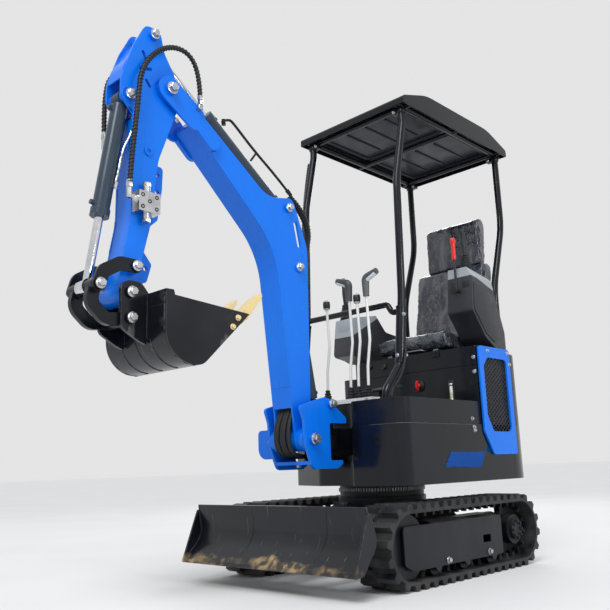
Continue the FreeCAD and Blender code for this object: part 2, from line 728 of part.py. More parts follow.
class Ram:
    """The sizes of one cylinder: its closed length and the expressions of its radii."""

    def __init__(self, name, closed, barrel, rod, eye, half, pin):
        self.name = name
        self.closed = closed
        self.barrel = barrel
        self.rod = rod
        self.eye = eye
        self.half = half
        self.pin = pin

    def build(self, start, end, standing=False):
        """Tube at the base pin and rod at the other pin, at the length they have at rest."""
        axis = end - start
        if standing:
            turn = Rotation(Vector(0, 0, 1), math.degrees(math.atan2(axis.y, axis.x)))
            turn = turn * Rotation(Vector(1, 0, 0), 90)
        else:
            turn = Rotation(Vector(0, 1, 0), -math.degrees(math.atan2(axis.z, axis.x)))
        place = Placement(start, turn)
        closed = self.closed
        tube_end = "%s - %s - 6" % (closed, self.eye)
        tube = Piece(self.name + "_tube", place)
        tube.middle("side", self.half, Circle(0, 0, self.eye))
        tube.add("front", "0", "%s + side_gap" % self.eye, Circle(0, 0, self.half + " - 3"))
        tube.add("front", "%s + side_gap" % self.eye, tube_end, Circle(0, 0, self.barrel))
        collar = Circle(0, 0, "%s + gland_step" % self.barrel)
        tube.add("front", "%s - gland_long" % tube_end, tube_end, collar)
        port = "%s * 0.7" % self.barrel
        tube.add("plan", port, "%s + 12" % self.barrel, Circle(getattr(size, self.eye) + 22, 0, "9"))
        gland = getattr(size, closed) - getattr(size, self.eye) - 6 - size.gland_long
        tube.add("plan", port, "%s + 12" % self.barrel, Circle(gland - 14, 0, "9"))
        tube.cut("front", "%s + 8" % self.eye, "%s - gland_long" % tube_end,
                 Circle(0, 0, "%s - barrel_wall" % self.barrel))
        bore = Circle(0, 0, "%s + pin_gap" % self.rod)
        tube.cut("front", "%s - gland_long - 1" % tube_end, tube_end, bore)
        tube.bore(self.half + " + 1", Circle(0, 0, self.pin + " + pin_gap"))
        length = axis.Length
        shortest = getattr(size, closed) - getattr(size, self.eye) - 12
        rod = Piece(self.name + "_rod", place)
        rod_end = "%.4f - (%.4f)" % (length, shortest)
        rod.add("front", rod_end, "%.4f" % length, Circle(0, 0, self.rod))
        rod.middle("side", self.half, Circle(length, 0, self.eye))
        piston = Circle(0, 0, "%s - barrel_wall - pin_gap" % self.barrel)
        rod.add("front", rod_end, rod_end + " + 20", piston)
        hole = Circle(length, 0, self.pin + " + pin_gap")
        rod.cut("side", "-(%s) - 1" % self.half, "%s + 1" % self.half, hole)


def point(name):
    """The place of a pin, from its two sizes."""
    return (getattr(size, name + "_x"), getattr(size, name + "_z"))


def pin(name):
    """The place of a pin in the machine's centre plane."""
    x, z = point(name)
    return Vector(x, 0, z)


BIG = ("barrel_radius", "rod_radius", "eye_radius", "eye_half", "pin_radius")
SMALL = ("small_barrel", "small_rod", "small_eye", "small_half", "small_pin")


def make_rams():
    """The five cylinders of the digging arm, its swing and the blade."""
    Ram("boom_cylinder", "boom_closed", *BIG).build(pin("boom_base"), pin("boom_eye"))
    Ram("arm_cylinder", "stick_closed", *BIG).build(pin("stick_base"), pin("stick_eye"))
    Ram("bucket_cylinder", "scoop_closed", *BIG).build(pin("scoop_base"), pin("link"))
    Ram("blade_cylinder", "blade_closed", *SMALL).build(pin("blade_base"), pin("blade_eye"))
    base = Vector(size.swing_base_x, size.swing_base_y, size.swing_level)
    eye = Vector(size.lug_pin_x, size.lug_pin_y, size.swing_level)
    Ram("swing_cylinder", "swing_closed", *SMALL).build(base, eye, standing=True)


# Swing bracket


def make_bracket():
    """Swing bracket: two side plates, ears above and below the kingpost, and the swing cylinder's lug."""
    foot = point("foot")
    base = point("boom_base")
    low = size.king_low - size.side_gap - size.ear_thick
    top = size.king_high + size.side_gap
    rear = size.king_x + 43
    side = [
        (rear - 40, low - 18, 18),
        (foot[0] + 2, low - 18, 30),
        (foot[0] + 42, foot[1] - 20, 50),
        (foot[0] + 46, foot[1] + 70, 50),
        (foot[0] + 68, foot[1] + 128, 16),
        (base[0] + 26, base[1] + 28, 26),
        (size.king_x - 58, top + size.ear_thick + 8, 10),
        (size.king_x - 58, top, 6),
        (rear, top, 10),
        (rear, low + size.ear_thick, 10),
        (rear - 72, low + size.ear_thick, 6),
        (rear - 72, low, 6),
    ]
    bracket = Piece("swing_bracket")
    inner = "bracket_outer - bracket_plate"
    bracket.pair("side", inner, "bracket_outer", side)
    reach = size.bracket_outer - 1
    ears = (("king_low - side_gap - ear_thick", foot[0] + 12), ("king_high + side_gap", rear + 22))
    for level, front in ears:
        ear = [
            (size.king_x - 58, -58, 56),
            (rear - 30, -reach, 20),
            (front, -reach, 2),
            (front, reach, 2),
            (rear - 30, reach, 20),
            (size.king_x - 58, 58, 56),
        ]
        bracket.add("plan", level, level + " + ear_thick", ear)
    bracket.pair("side", "eye_half + side_gap", inner, Circle(*base, "pin_radius + 9"))
    bracket.cut("plan", "king_low - 60", "king_high + 60", Circle(size.king_x, 0, "king_pin + pin_gap"))
    bracket.middle("side", "bracket_outer + 14", Circle(*base, "pin_radius"))
    bracket.middle("side", "bracket_outer + 14", Circle(*foot, "king_pin - 4"))
    lug = [
        (-size.bracket_outer + 2, size.swing_level - 60, 10),
        (-size.bracket_outer + 2, size.swing_level + 60, 10),
        (size.lug_pin_y - 50, size.swing_level + 60, 20),
        (size.lug_pin_y - 50, size.swing_level - 60, 45),
    ][::-1]
    bracket.add("front", "lug_plate_x", "lug_plate_x + 12", lug)
    cheek = [
        (rear + 6, -size.bracket_outer + 2, 4),
        (size.lug_pin_x - 20, size.lug_pin_y - 22, 21),
        (size.lug_plate_x + 1, size.lug_pin_y - 22, 4),
        (size.lug_plate_x + 1, -size.bracket_outer + 2, 0),
    ]
    gap = "(small_half + gap_slew)"
    bracket.add("plan", "swing_level - %s - 12" % gap, "swing_level - %s" % gap, cheek)
    bracket.add("plan", "swing_level + %s" % gap, "swing_level + %s + 12" % gap, cheek)
    for side in (1, -1):
        near = "swing_level + %d * (%s + 11)" % (side, gap)
        far = "swing_level + %d * (%s + 18)" % (side, gap)
        bracket.add("plan", near, far, Circle(size.lug_pin_x, size.lug_pin_y, "small_pin"))


# Boom


def make_boom():
    """Boom: a bent box between side plates that stand out at the back as fins, with a forked head."""
    foot = point("foot")
    knee = point("knee")
    elbow = point("elbow")
    eye = point("boom_eye")
    base = point("stick_base")
    head_low = (elbow[0] - 110, elbow[1] - 95)
    head_top = (elbow[0] - 158, elbow[1] - 42)
    bend_top = (knee[0] + 36, knee[1] + 210)
    shin = (foot[0] + 55, foot[1] + 90)
    lean = (knee[0] - shin[0]) / (knee[1] - shin[1])
    side = [
        (foot[0] + 46, foot[1] - 46, 45),
        shin + (60,),
        knee + (size.knee_round,),
        head_low + (6,),
        head_top + (6,),
        bend_top + (120,),
        (base[0] - 30, base[1] + 50, 30),
        (eye[0] - 56, eye[1] + 90, 160),
        (eye[0] - 46, eye[1] - 450, 120),
        (foot[0] - 46, foot[1] + 130, 60),
        (foot[0] - 46, foot[1] - 46, 45),
    ]
    box = [
        (shin[0] + lean * (size.boom_mouth - 90), foot[1] + size.boom_mouth, 3),
        knee + (size.knee_round,),
        head_low + (6,),
        head_top + (6,),
        (bend_top[0] + 30, bend_top[1] + 24, 60),
        (eye[0] + 82, eye[1] + 100, 60),
        (eye[0] + 66, eye[1] - 20, 60),
        (eye[0] + 18, eye[1] - 253, 200),
        (foot[0] - 30, foot[1] + size.boom_mouth, 3),
    ]
    boom = Piece("boom")
    inner = "boom_half - boom_plate"
    boom.pair("side", inner, "boom_half", side)
    root = capsule((elbow[0] - 200, elbow[1] - 146), (elbow[0] - 150, elbow[1] - 100), 34)
    boom.pair("side", "boom_half - 2", "fork_inner + fork_plate", root)
    fork = capsule((elbow[0] - 112, elbow[1] - 74), elbow, size.fork_radius)
    boom.pair("side", "fork_inner", "fork_inner + fork_plate", fork)
    boom.middle("side", inner, box, inset(box, size.boom_plate))
    boom.middle("side", "bracket_outer - bracket_plate - side_gap", Circle(*foot, "foot_radius"))
    boom.pair("side", "eye_half + side_gap", inner, Circle(*eye, "eye_radius"))
    boom.pair("side", "boom_half", "boom_half + 8", Circle(*eye, "eye_radius - 6"))
    boom.pair("side", "eye_half + side_gap", inner, Circle(*base, "eye_radius"))
    boom.bore("bracket_outer", Circle(*foot, "king_pin - 4 + pin_gap"))
    boom.middle("side", "boom_half + 12", Circle(*base, "pin_radius"))
    boom.middle("side", "fork_inner + fork_plate + 12", Circle(*elbow, "king_pin - 4"))
    mouth = rectangle(foot[0] - 4, -42, foot[0] + 50, 42, 12)
    boom.cut("plan", "foot_z + boom_mouth - 4", "foot_z + boom_mouth + boom_plate + 4", mouth)
    slot = capsule((base[0] - 41, base[1] - 60), (base[0] - 60, base[1] - 150), size.fin_slot)
    boom.cut_pair("side", inner + " - 1", "boom_half + 1", slot)


# Arm


def make_arm():
    """Arm: tall head plates with the cylinders' ears, a tapering box and the bucket boss."""
    elbow = point("elbow")
    head = point("stick_eye")
    ram = point("scoop_base")
    wrist = point("wrist")
    guide = point("guide")
    side = [
        (wrist[0] - 38, wrist[1] - 38, 37),
        (wrist[0] + 38, wrist[1] - 38, 37),
        (wrist[0] + 30, wrist[1] + 60, 60),
        (guide[0] + 2, guide[1] + 170, 300),
        (ram[0] - 20, ram[1] - 180, 300),
        (ram[0] - 18, ram[1] - 50, 14),
        (ram[0] + 8, ram[1] - 40, 20),
        (ram[0] + 32, ram[1] - 8, 24),
        (ram[0] + 32, ram[1] + 62, 120),
        (head[0] + 82, head[1] - 70, 120),
        (head[0] + 32, head[1] + 30, 30),
        (head[0] - 32, head[1] + 30, 28),
        (head[0] - 50, head[1] - 50, 60),
        (elbow[0] - 34, elbow[1] + 72, 60),
        (elbow[0] - 48, elbow[1] - 58, 40),
        (elbow[0] - 18, elbow[1] - 140, 120),
        (elbow[0] + 36, elbow[1] - 284, 200),
        (guide[0] - 78, guide[1] + 170, 300),
        (wrist[0] - 38, wrist[1] + 50, 60),
    ]
    box = [
        (wrist[0] - 34, wrist[1] + 20, 10),
        (wrist[0] + 34, wrist[1] + 20, 10),
        (wrist[0] + 29, wrist[1] + 62, 30),
        (guide[0] + 1, guide[1] + 170, 300),
        (ram[0] - 22, ram[1] - 180, 300),
        (ram[0] - 22, ram[1] - 72, 8),
        (elbow[0] - 8, elbow[1] - 144, 12),
        (elbow[0] + 37, elbow[1] - 284, 200),
        (guide[0] - 77, guide[1] + 170, 300),
        (wrist[0] - 34, wrist[1] + 52, 30),
    ]
    arm = Piece("arm")
    inner = "stick_half - stick_plate"
    arm.pair("side", inner, "stick_half", side)
    arm.middle("side", inner, box, inset(box, size.stick_plate))
    top_edge = [
        (ram[0] + 28, ram[1] + 60, 0),
        (ram[0] + 22, ram[1] + 110, 120),
        (head[0] + 70, head[1] - 72, 80),
        (head[0] + 48, head[1] - 34, 0),
    ]
    cover = band(top_edge, size.stick_plate - 2)
    arm.middle("side", inner, cover)
    arm.middle("side", "fork_inner - side_gap", Circle(*elbow, "fork_radius - 6"))
    arm.pair("side", "eye_half + side_gap", inner, Circle(*head, "eye_radius"))
    arm.pair("side", "eye_half + side_gap", inner, Circle(*ram, "eye_radius - 4"))
    arm.middle("side", "wrist_half", Circle(*wrist, "wrist_radius"))
    arm.middle("side", "wrist_half + ear_plate + side_gap", Circle(*guide, "pin_radius + 9"))
    wrist_bore = Circle(*wrist, "rod_radius + 3 + pin_gap")
    arm.bore("wrist_half + 20", Circle(*elbow, "king_pin - 4 + pin_gap"), wrist_bore)
    arm.middle("side", "stick_half + 12", Circle(*ram, "pin_radius"))
    guide_reach = "wrist_half + ear_plate + side_gap * 2 + guide_plate + 8"
    arm.middle("side", guide_reach, Circle(*guide, "pin_radius"))
    arm.pair("side", "stick_half", "stick_half + 14", Circle(*head, "eye_radius - 8"))
    bracket = [
        (elbow[0] + 50, elbow[1] - 280, 6),
        (elbow[0] - 14, elbow[1] - 286, 14),
        (elbow[0] - 10, elbow[1] - 370, 30),
        (elbow[0] + 8, elbow[1] - 490, 14),
        (elbow[0] + 62, elbow[1] - 540, 6),
        (elbow[0] + 66, elbow[1] - 400, 10),
    ][::-1]
    arm.middle("side", "stick_plate", bracket)
    holes = [
        Circle(elbow[0] + 10, elbow[1] - 317, "thumb_hole"),
        Circle(elbow[0] + 12, elbow[1] - 384, "thumb_hole"),
        Circle(elbow[0] + 28, elbow[1] - 452, "thumb_hole"),
    ]
    arm.cut("side", "-stick_half / 2", "stick_half / 2", *holes)
    slots = [
        capsule((head[0] + 41, head[1] - 82), (head[0] + 28, head[1] - 112), size.head_slot),
        capsule((head[0] + 52, head[1] - 152), (head[0] + 8, head[1] - 140), size.head_slot),
        capsule((head[0] + 26, head[1] - 190), (head[0] + 12, head[1] - 208), size.head_slot),
    ]
    arm.cut_pair("side", inner + " - 1", "stick_half + 1", *slots)
    arm.cut("side", inner + " - 1", "stick_half + 1", Circle(guide[0] - 20, guide[1] + 250, "head_slot"))
    lug = [
        (guide[0] - 58, guide[1] + 106, 10),
        (guide[0] - 112, guide[1] + 40, 14),
        (guide[0] - 92, guide[1] - 26, 14),
        (guide[0] - 50, guide[1] - 44, 6),
        (guide[0] - 40, guide[1] + 30, 10),
    ][::-1]
    arm.middle("side", "stick_plate", lug)
    arm.cut("side", "-stick_half / 2", "stick_half / 2", Circle(guide[0] - 87, guide[1] + 22, "thumb_hole"))


# Bucket and its links


def make_bucket():
    """Bucket: a rolled shell between side plates, a stiff top edge, and ears for the arm and the link."""
    wrist = point("wrist")
    ear = point("ear")
    lip = point("lip")
    mouth = (size.back_x - 3, size.mouth_z)
    shell = [
        lip + (0,),
        (lip[0] + 212, size.heel_z, 60),
        (size.back_x, size.heel_z, 115),
        mouth + (0,),
    ]
    hollow = inset(shell, size.bucket_shell)
    lift = Vector(lip[0] - mouth[0], lip[1] - mouth[1], 0)
    lift = Vector(-lift.y, lift.x, 0) * (-60 / lift.Length)
    floor_run = Vector(lip[1] - size.heel_z, 212, 0).normalize() * size.bucket_shell
    hollow[0] = (lip[0] + floor_run.x, lip[1] + floor_run.y, 0)
    hollow[-1] = (mouth[0] - size.bucket_shell, mouth[1] + 1, 0)
    over_mouth = (hollow[-1][0] + lift.x, hollow[-1][1] + lift.y)
    over_lip = (hollow[0][0] + lift.x, hollow[0][1] + lift.y)
    hollow = hollow + [over_mouth, over_lip]
    bucket = Piece("bucket")
    bucket.middle("side", "bucket_half", shell)
    bucket.cut("side", "-(bucket_half - bucket_side)", "bucket_half - bucket_side", hollow)
    beam = [
        (mouth[0] - 34, mouth[1] + 2),
        (mouth[0] - 30, mouth[1] - 34),
        (mouth[0] + 1, mouth[1] - 34),
        (mouth[0] + 1, mouth[1] + 14),
        (mouth[0] - 30, mouth[1] + 14),
    ]
    bucket.middle("side", "bucket_half", beam)
    ears = [
        (size.back_x - 20, size.mouth_z + 2, 6),
        (wrist[0] - 40, wrist[1] + 40, 38),
        (wrist[0] + 38, wrist[1] + 40, 38),
        (ear[0] + 36, ear[1] - 34, 32),
        (ear[0] - 30, ear[1] - 72, 50),
        (size.back_x - 1, ear[1] - 84, 4),
    ][::-1]
    bucket.pair("side", "wrist_half + side_gap", "wrist_half + side_gap + ear_plate", ears)
    bucket.middle("side", "wrist_half + side_gap + 2", Circle(*wrist, "rod_radius + 3"))
    bucket.middle("side", "wrist_half + side_gap + 2", Circle(*ear, "pin_radius"))
    bucket.pair("side", "wrist_half + side_gap + ear_plate", "wrist_half + side_gap + ear_plate + 11",
                Circle(*wrist, "pin_radius - 1"))
    bucket.pair("side", "wrist_half + side_gap + ear_plate", "wrist_half + side_gap + ear_plate + 11",
                Circle(*ear, "pin_radius - 1"))


def make_teeth():
    """Three bucket teeth, each with a slot that grips the lip."""
    lip = point("lip")
    slope = math.degrees(math.atan2(200, -212))
    gap = size.pin_gap
    tooth = [
        (-44, size.bucket_shell + gap),
        (gap, size.bucket_shell + gap),
        (gap, -gap),
        (-44, -gap),
        (-44, -9),
        (0, -14),
        (112, 2),
        (119, 13),
        (60, 20),
        (0, 22),
        (-44, 15),
    ]
    outline = [(u, -v) for u, v in tooth]
    outline = turned(outline, lip, slope)
    teeth = Piece("bucket_teeth")
    teeth.middle("side", "tooth_half", outline)
    teeth.pair("side", "tooth_apart - tooth_half", "tooth_apart + tooth_half", outline)


def make_links():
    """Guide links beside the arm and the bucket link between the ears."""
    guide = point("guide")
    link = point("link")
    ear = point("ear")
    inner = "wrist_half + ear_plate + side_gap * 2"
    guides = Piece("guide_links")
    bow = [guide, (guide[0] + 58, guide[1] + 1, 30), (guide[0] + 121, guide[1] - 36, 30), link]
    guides.pair("side", inner, inner + " + guide_plate", strap(bow, size.link_half))
    guides.pair("side", inner + " + guide_plate", inner + " + guide_plate + 9", Circle(*link, "pin_radius"))
    guides.bore(inner + " + guide_plate + 1", Circle(*guide, "pin_radius + pin_gap"))
    bar = Piece("bucket_link")
    bow = [ear, (ear[0] + 80, ear[1] - 10, 40), (ear[0] + 136, ear[1] + 40, 40), link]
    plate = strap(bow, size.link_half - 2)
    bar.pair("side", "small_half + rod_radius + barrel_wall", "wrist_half - side_gap", plate)
    bar.middle("side", "wrist_half", Circle(*ear, "pin_radius + 9"))
    bar.pair("side", "eye_half + side_gap", inner + " - side_gap", Circle(*link, "pin_radius + 9"))
    bar.bore("wrist_half + 1", Circle(*ear, "pin_radius + pin_gap"))


def mirrored(places):
    return [(Vector(place.x, -place.y, place.z), bend) for place, bend in places]


def make_arm_hoses():
    """Two hoses that loop over the elbow from the boom to the arm, and the valve block on the arm."""
    out = size.loop_apart
    loop = [
        (Vector(1074, out, 1790), 0),
        (Vector(1076, out, 1905), 70),
        (Vector(1130, out, 1985), 60),
        (Vector(1236, out, 1966), 90),
    ]
    near = loop + [
        (Vector(1335, out, 1850), 110),
        (Vector(1348, out, 1690), 200),
        (Vector(1372, out, 1450), 200),
        (Vector(1374, out, 1395), 0),
    ]
    far = loop + [
        (Vector(1345, out, 1885), 80),
        (Vector(1379, out, 1790), 200),
        (Vector(1374, out, 1634.7), 0),
    ]
    hoses = [pipe(near, size.hose_radius), pipe(mirrored(far), size.hose_radius)]
    feature("arm_hoses", Part.makeCompound(hoses))
    block = Part.makeBox(86, 44, 72, Vector(1256, size.stick_half + 0.3, 1308))
    plug = Part.makeCylinder(13, 130, Vector(1299, size.stick_half + 24, 1280))
    elbow = Part.makeCylinder(10, 40, Vector(1340, out - 4, 1352), Vector(1, 0, 0))
    riser = Part.makeCylinder(10, 50, Vector(1374, out - 4, 1344.7))
    tee = Part.makeBox(66, 36, 34, Vector(1318, -size.stick_half - 36.3, 1570))
    stem = Part.makeCylinder(10, 50, Vector(1374, -out + 4, 1584.4))
    blocks = [joined([block, plug, elbow, riser]), joined([tee, stem])]
    feature("arm_valve_block", Part.makeCompound(blocks))


def make_boom_hoses():
    """Two hoses that hang behind the boom and end in clamps on its right side."""
    shapes = []
    for index in range(2):
        shift = index * size.hose_apart
        shapes.append(pipe([
            (Vector(546 - shift / 3, 22 - shift, 1570), 0),
            (Vector(478 - shift / 3, 20 - shift, 1535), 40),
            (Vector(412 - shift / 3, 10 - shift, 1440), 90),
            (Vector(436 - shift / 3, -4 - shift, 1330), 130),
            (Vector(404 - shift / 3, -24 - shift, 1180), 160),
            (Vector(404 - shift / 3, -44 - shift, 1010), 130),
            (Vector(470, -98, 880 - shift), 60),
            (Vector(540, -98, 850 - shift), 26),
            (Vector(540, -size.boom_half - 0.3, 850 - shift), 0),
        ], size.hose_radius - 1))
    feature("boom_hoses", Part.makeCompound(shapes))


def make_foot_hoses():
    """Hoses that leave the boom's open lower end, pass before the foot pin and enter the bracket."""
    foot = point("foot")
    shapes = []
    for index in range(5):
        y = (index - 2) * size.hose_apart * 0.9
        bulge = (0, 7, 2, 9, 4)[index]
        shapes.append(pipe([
            (Vector(foot[0] + 20, y * 0.89, foot[1] + 165), 0),
            (Vector(foot[0] + 34, y * 0.89, foot[1] + 118), 50),
            (Vector(foot[0] + 64 + bulge, y, foot[1] + 50), 70),
            (Vector(foot[0] + 64 + bulge, y, foot[1] - 24), 40),
            (Vector(foot[0] + 30, y, foot[1] - 66), 34),
            (Vector(foot[0] - 56, y, foot[1] - 66), 0),
        ], size.hose_radius - 2))
    feature("foot_hoses", Part.makeCompound(shapes))


def make_post_cables():
    """Wrapped cables: one down the right front post, one from the left post's sleeve to the floor."""
    out = size.post_apart + size.post_radius + 5 + size.cable_radius + 0.3
    right = pipe([
        (Vector(size.post_foot_right, -out, size.floor_high + 0.3), 0),
        (Vector(size.post_foot_right, -out, size.floor_high + 34), 70),
        (Vector(size.sleeve_x, -out, size.sleeve_low), 90),
        (Vector(146, -out, 1150), 500),
        (Vector(128, -out, 1690), 500),
        (Vector(64, -out, 1960), 0),
    ], size.cable_radius)
    left = pipe([
        (Vector(size.sleeve_x - 4, out, size.sleeve_low + 60), 0),
        (Vector(size.sleeve_x + 8, out, size.sleeve_low - 10), 80),
        (Vector(256, out + 8, 766), 60),
        (Vector(310, out + 12, size.floor_high + 30), 30),
        (Vector(310, out + 12, size.floor_high + 0.3), 0),
    ], size.cable_radius)
    feature("post_cables", Part.makeCompound([right, left]))


def make_digging_arm():
    make_bracket()
    make_boom()
    make_arm()
    make_bucket()
    make_teeth()
    make_links()
    make_rams()
    make_arm_hoses()
    make_boom_hoses()
    make_foot_hoses()


# House


def house_line(rear, front, side):
    """Side and front line of the house from right to left, with the recess round the kingpost."""
    return [
        (rear, -side, 0),
        (size.notch_x - 127, -side, 60),
        (size.notch_x, -size.notch_y + 6, 60),
        (size.notch_x, size.notch_y - 12, 90),
        (front, size.notch_y, 12),
        (front, side, 50),
        (rear, side, 0),
    ]


def make_house_frame():
    """Slew ring, base plate and the cast housing that carries the kingpost."""
    ring = Piece("slew_ring")
    ring.add("plan", "ring_split + gap_slew", "house_low", Circle(0, 0, "ring_radius - 8"),
             Circle(0, 0, "ring_bore"))
    base = Piece("house_base")
    outline = house_line(size.skirt_rear, size.skirt_front, size.house_half)
    plan = inset(outline, size.sheet_wall + 0.3)
    base.add("plan", "house_low", "house_low + plate_wall * 2", plan)
    anchor = (size.swing_base_x, size.swing_base_y)
    base.add("plan", "house_low", "swing_level - small_half - gap_slew", Circle(*anchor, "small_eye"))
    king = Piece("kingpost_housing")
    king.add("plan", "king_low", "king_high", Circle(size.king_x, 0, "king_radius"))
    king.add("plan", "king_low + 20", "king_high - 16",
             [(size.notch_x - 90, -52), (size.king_x, -46), (size.king_x, 46), (size.notch_x - 90, 52)])
    pedestal = rectangle(size.notch_x - 120, -90, size.notch_x - 60, 90, 10)
    king.add("plan", "house_low + plate_wall * 2", "king_high - 30", pedestal)
    king.add("plan", "king_low + 44", "king_high - 44", Circle(size.king_x, 0, "king_radius + 14"))
    king.add("plan", "king_low - side_gap - ear_thick - 12", "king_low", Circle(size.king_x, 0, "king_pin"))
    king.add("plan", "king_high", "king_high + side_gap + ear_thick + 10", Circle(size.king_x, 0, "king_pin"))


def grille_opening():
    """The opening for cooling air on the left side, with cut corners."""
    rear = size.box_rear
    front = size.box_front - 8
    return [
        (rear + 34, size.skirt_high - 30, 24),
        (front - 76, size.skirt_high - 30, 24),
        (front - 34, size.skirt_high + 40, 24),
        (front - 34, size.box_high - 90, 24),
        (front - 70, size.box_high - 50, 24),
        (rear + 34, size.box_high - 50, 24),
    ]


def make_skirt():
    """Skirt: the sheet wall round the front of the house, open where the swing cylinder comes out."""
    line = house_line(size.skirt_rear, size.skirt_front, size.house_half)
    skirt = Piece("house_skirt")
    skirt.add("plan", "house_low", "skirt_high", band(line, size.sheet_wall))
    level = size.swing_level
    ram_mouth = rectangle(size.lug_pin_y - 62, level - 42, -size.king_radius - 40, level + 42, 20)
    skirt.cut("front", "notch_x - 120", "notch_x + 20", ram_mouth)
    radius = size.king_radius
    king_mouth = rectangle(-radius, size.king_low - 10, radius, size.king_high - 14, 10)
    skirt.cut("front", "notch_x - 20", "notch_x + 20", king_mouth)
    vent = [(-80, 20), (-8, 20), (20, -22), (-52, -22)][::-1]
    place = (size.box_rear + 245, size.skirt_high - 95)
    skirt.cut("side", "house_half - sheet_wall - 1", "house_half + 1", inset(grille_opening(), -13))
    hole = [(place[0] + u, place[1] + v, 6) for u, v in vent]
    skirt.cut("side", "house_half - sheet_wall - 1", "house_half + 1", hole)
    mesh = Piece("skirt_vent")
    mesh.add("side", "house_half - sheet_wall - 3", "house_half - sheet_wall",
             [(place[0] + u * 1.15, place[1] + v * 1.2) for u, v in vent])


def make_counterweight():
    """Counterweight: a cast tail with large rounded corners."""
    half = size.house_half
    plan = [
        (size.skirt_rear - 1, half, 0),
        (size.tail_x, half, size.tail_round),
        (size.tail_x, -half, size.tail_round),
        (size.skirt_rear - 1, -half, 0),
    ]
    weight = Piece("counterweight")
    weight.add("plan", "house_low", "skirt_high", plan)


def make_floor():
    """Floor box in front of the seat, with a folded edge, on top of the skirt."""
    half = size.house_half - 5
    plan = house_line(size.box_front, size.floor_front, half)
    floor = Piece("floor_box")
    floor.add("plan", "skirt_high", "floor_high", plan)
    floor.cut("plan", "skirt_high", "floor_high - sheet_wall", inset(plan, size.sheet_wall))


def make_seat_box():
    """Seat box: the cover over the engine, open below, with a seam and the tank beside it."""
    box = Piece("seat_box")
    plan = rectangle(size.box_rear, size.box_right, size.box_front - 1, size.house_half - 5, 0)
    base = "skirt_high"
    box.add("plan", base, "box_high", plan)
    box.cut("plan", base, "box_high - sheet_wall", inset(plan, size.sheet_wall))
    box.cut("front", "box_front - 4", "box_front", rectangle(size.box_right - 1, 862, size.house_half, 865))
    tank = Piece("side_tank")
    plan = rectangle(size.box_rear, -size.house_half + 4, size.box_front - 1, size.box_right - 1, 30)
    tank.add("plan", "skirt_high", "box_high - 80", plan)
    cap = Circle(size.box_front - 120, size.box_right - 50, "king_pin")
    tank.add("plan", "box_high - 80", "box_high - 60", cap)
    engine = Piece("engine_block")
    plan = rectangle(size.box_rear + 20, -110, size.box_front - 40, 250, 20)
    engine.add("plan", "house_low + plate_wall * 2", "box_high - 90", plan)
    fittings = Piece("seat_box_fittings")
    fittings.add("front", "box_front - 1", "box_front + 8", Circle(87, 798, "26"))
    fittings.add("front", "box_front + 8", "box_front + 34", rectangle(80, 776, 94, 820, 5))
    fittings.add("front", "box_front - 1", "box_front + 14", rectangle(245, 706, 275, 802, 8))
    for y, z in ((-207, 922), (-119, 912)):
        fittings.add("front", "box_front - 1", "box_front + 9", Circle(y, z, "14"))


def make_grille():
    """Side panel: a frame round the opening for cooling air, and the grille behind it."""
    rear = size.box_rear
    front = size.box_front - 8
    outline = [
        (rear, size.skirt_high - 130, 16),
        (front - 66, size.skirt_high - 130, 20),
        (front, size.skirt_high - 30, 30),
        (front, size.box_high, 20),
        (rear, size.box_high, 20),
    ]
    opening = grille_opening()
    frame = Piece("grille_frame")
    frame.add("side", "house_half + 0.3", "house_half + 9", outline, opening)
    grille = Piece("grille_mesh")
    grille.add("side", "house_half - 3", "house_half - 0.3", inset(opening, -12))


def make_engine_cover():
    """Engine cover behind the seat, its top deck, and the hinged door at the back."""
    half = size.house_half - 5
    plan = [
        (size.box_rear - 1, half, 0),
        (size.tail_cover_x, half, size.tail_round - 50),
        (size.tail_cover_x, -half, size.tail_round - 50),
        (size.box_rear - 1, -half, 0),
    ]
    cover = Piece("engine_cover")
    cover.add("plan", "skirt_high", "tail_cover_high", plan)
    cover.cut("plan", "skirt_high", "tail_cover_high - sheet_wall", inset(plan, size.sheet_wall))
    half = size.door_half
    opening = rectangle(-half + 14, size.skirt_high + 34, half - 14, size.tail_cover_high - 34, 10)
    cover.cut("front", "tail_cover_x - 2", "tail_cover_x + sheet_wall + 2", opening)
    door = Piece("rear_door")
    face = rectangle(-half, size.skirt_high + 20, half, size.tail_cover_high - 20, 12)
    door.add("front", "tail_cover_x - 0.3 - plate_wall", "tail_cover_x - 0.3", face)
    for index in range(5):
        z = size.skirt_high + 80 + index * 34
        louvre = rectangle(-110, z, 110, z + 9, 4.4)
        door.cut("front", "tail_cover_x - 3 - plate_wall", "tail_cover_x + 3", louvre)
    for z in (size.skirt_high + 70, size.tail_cover_high - 110):
        door.add("plan", str(z), str(z + 40), Circle(size.tail_cover_x - 9, size.door_half + 3, "8"))


def make_seat():
    """Seat: base, cushion, backrest and headrest, each with rounded edges."""
    mid = size.seat_mid
    low = str(mid - size.seat_half)
    high = str(mid + size.seat_half)
    base = Piece("seat_base")
    base.add("plan", "box_high", "box_high + 18", rectangle(-560, mid - 150, -300, mid + 150, 20))
    base.add("side", str(mid - 60), str(mid + 60), [
        (-690, size.box_high),
        (-540, size.box_high),
        (-562, 968),
        (-562, 1049.7),
        (-668, 1049.7),
    ])
    cushion = Piece("seat_cushion")
    cushion.add("side", low, high, [
        (-555, 968.3, 20),
        (-262, 968.3, 30),
        (-236, 1012, 20),
        (-250, 1052, 24),
        (-420, 1032, 90),
        (-560, 1046, 24),
    ])
    back = Piece("seat_back")
    back.add("side", low, high, [
        (-562, 1050, 18),
        (-668, 1050, 20),
        (-742, 1440, 30),
        (-690, 1458, 30),
        (-640, 1440, 20),
        (-606, 1240, 120),
    ])
    head = Piece("headrest")
    head.add("side", str(mid - 165), str(mid + 165), [
        (-684, 1460.4, 12),
        (-744, 1439.6, 16),
        (-774, 1690, 30),
        (-742, 1722, 30),
        (-690, 1700, 30),
    ])


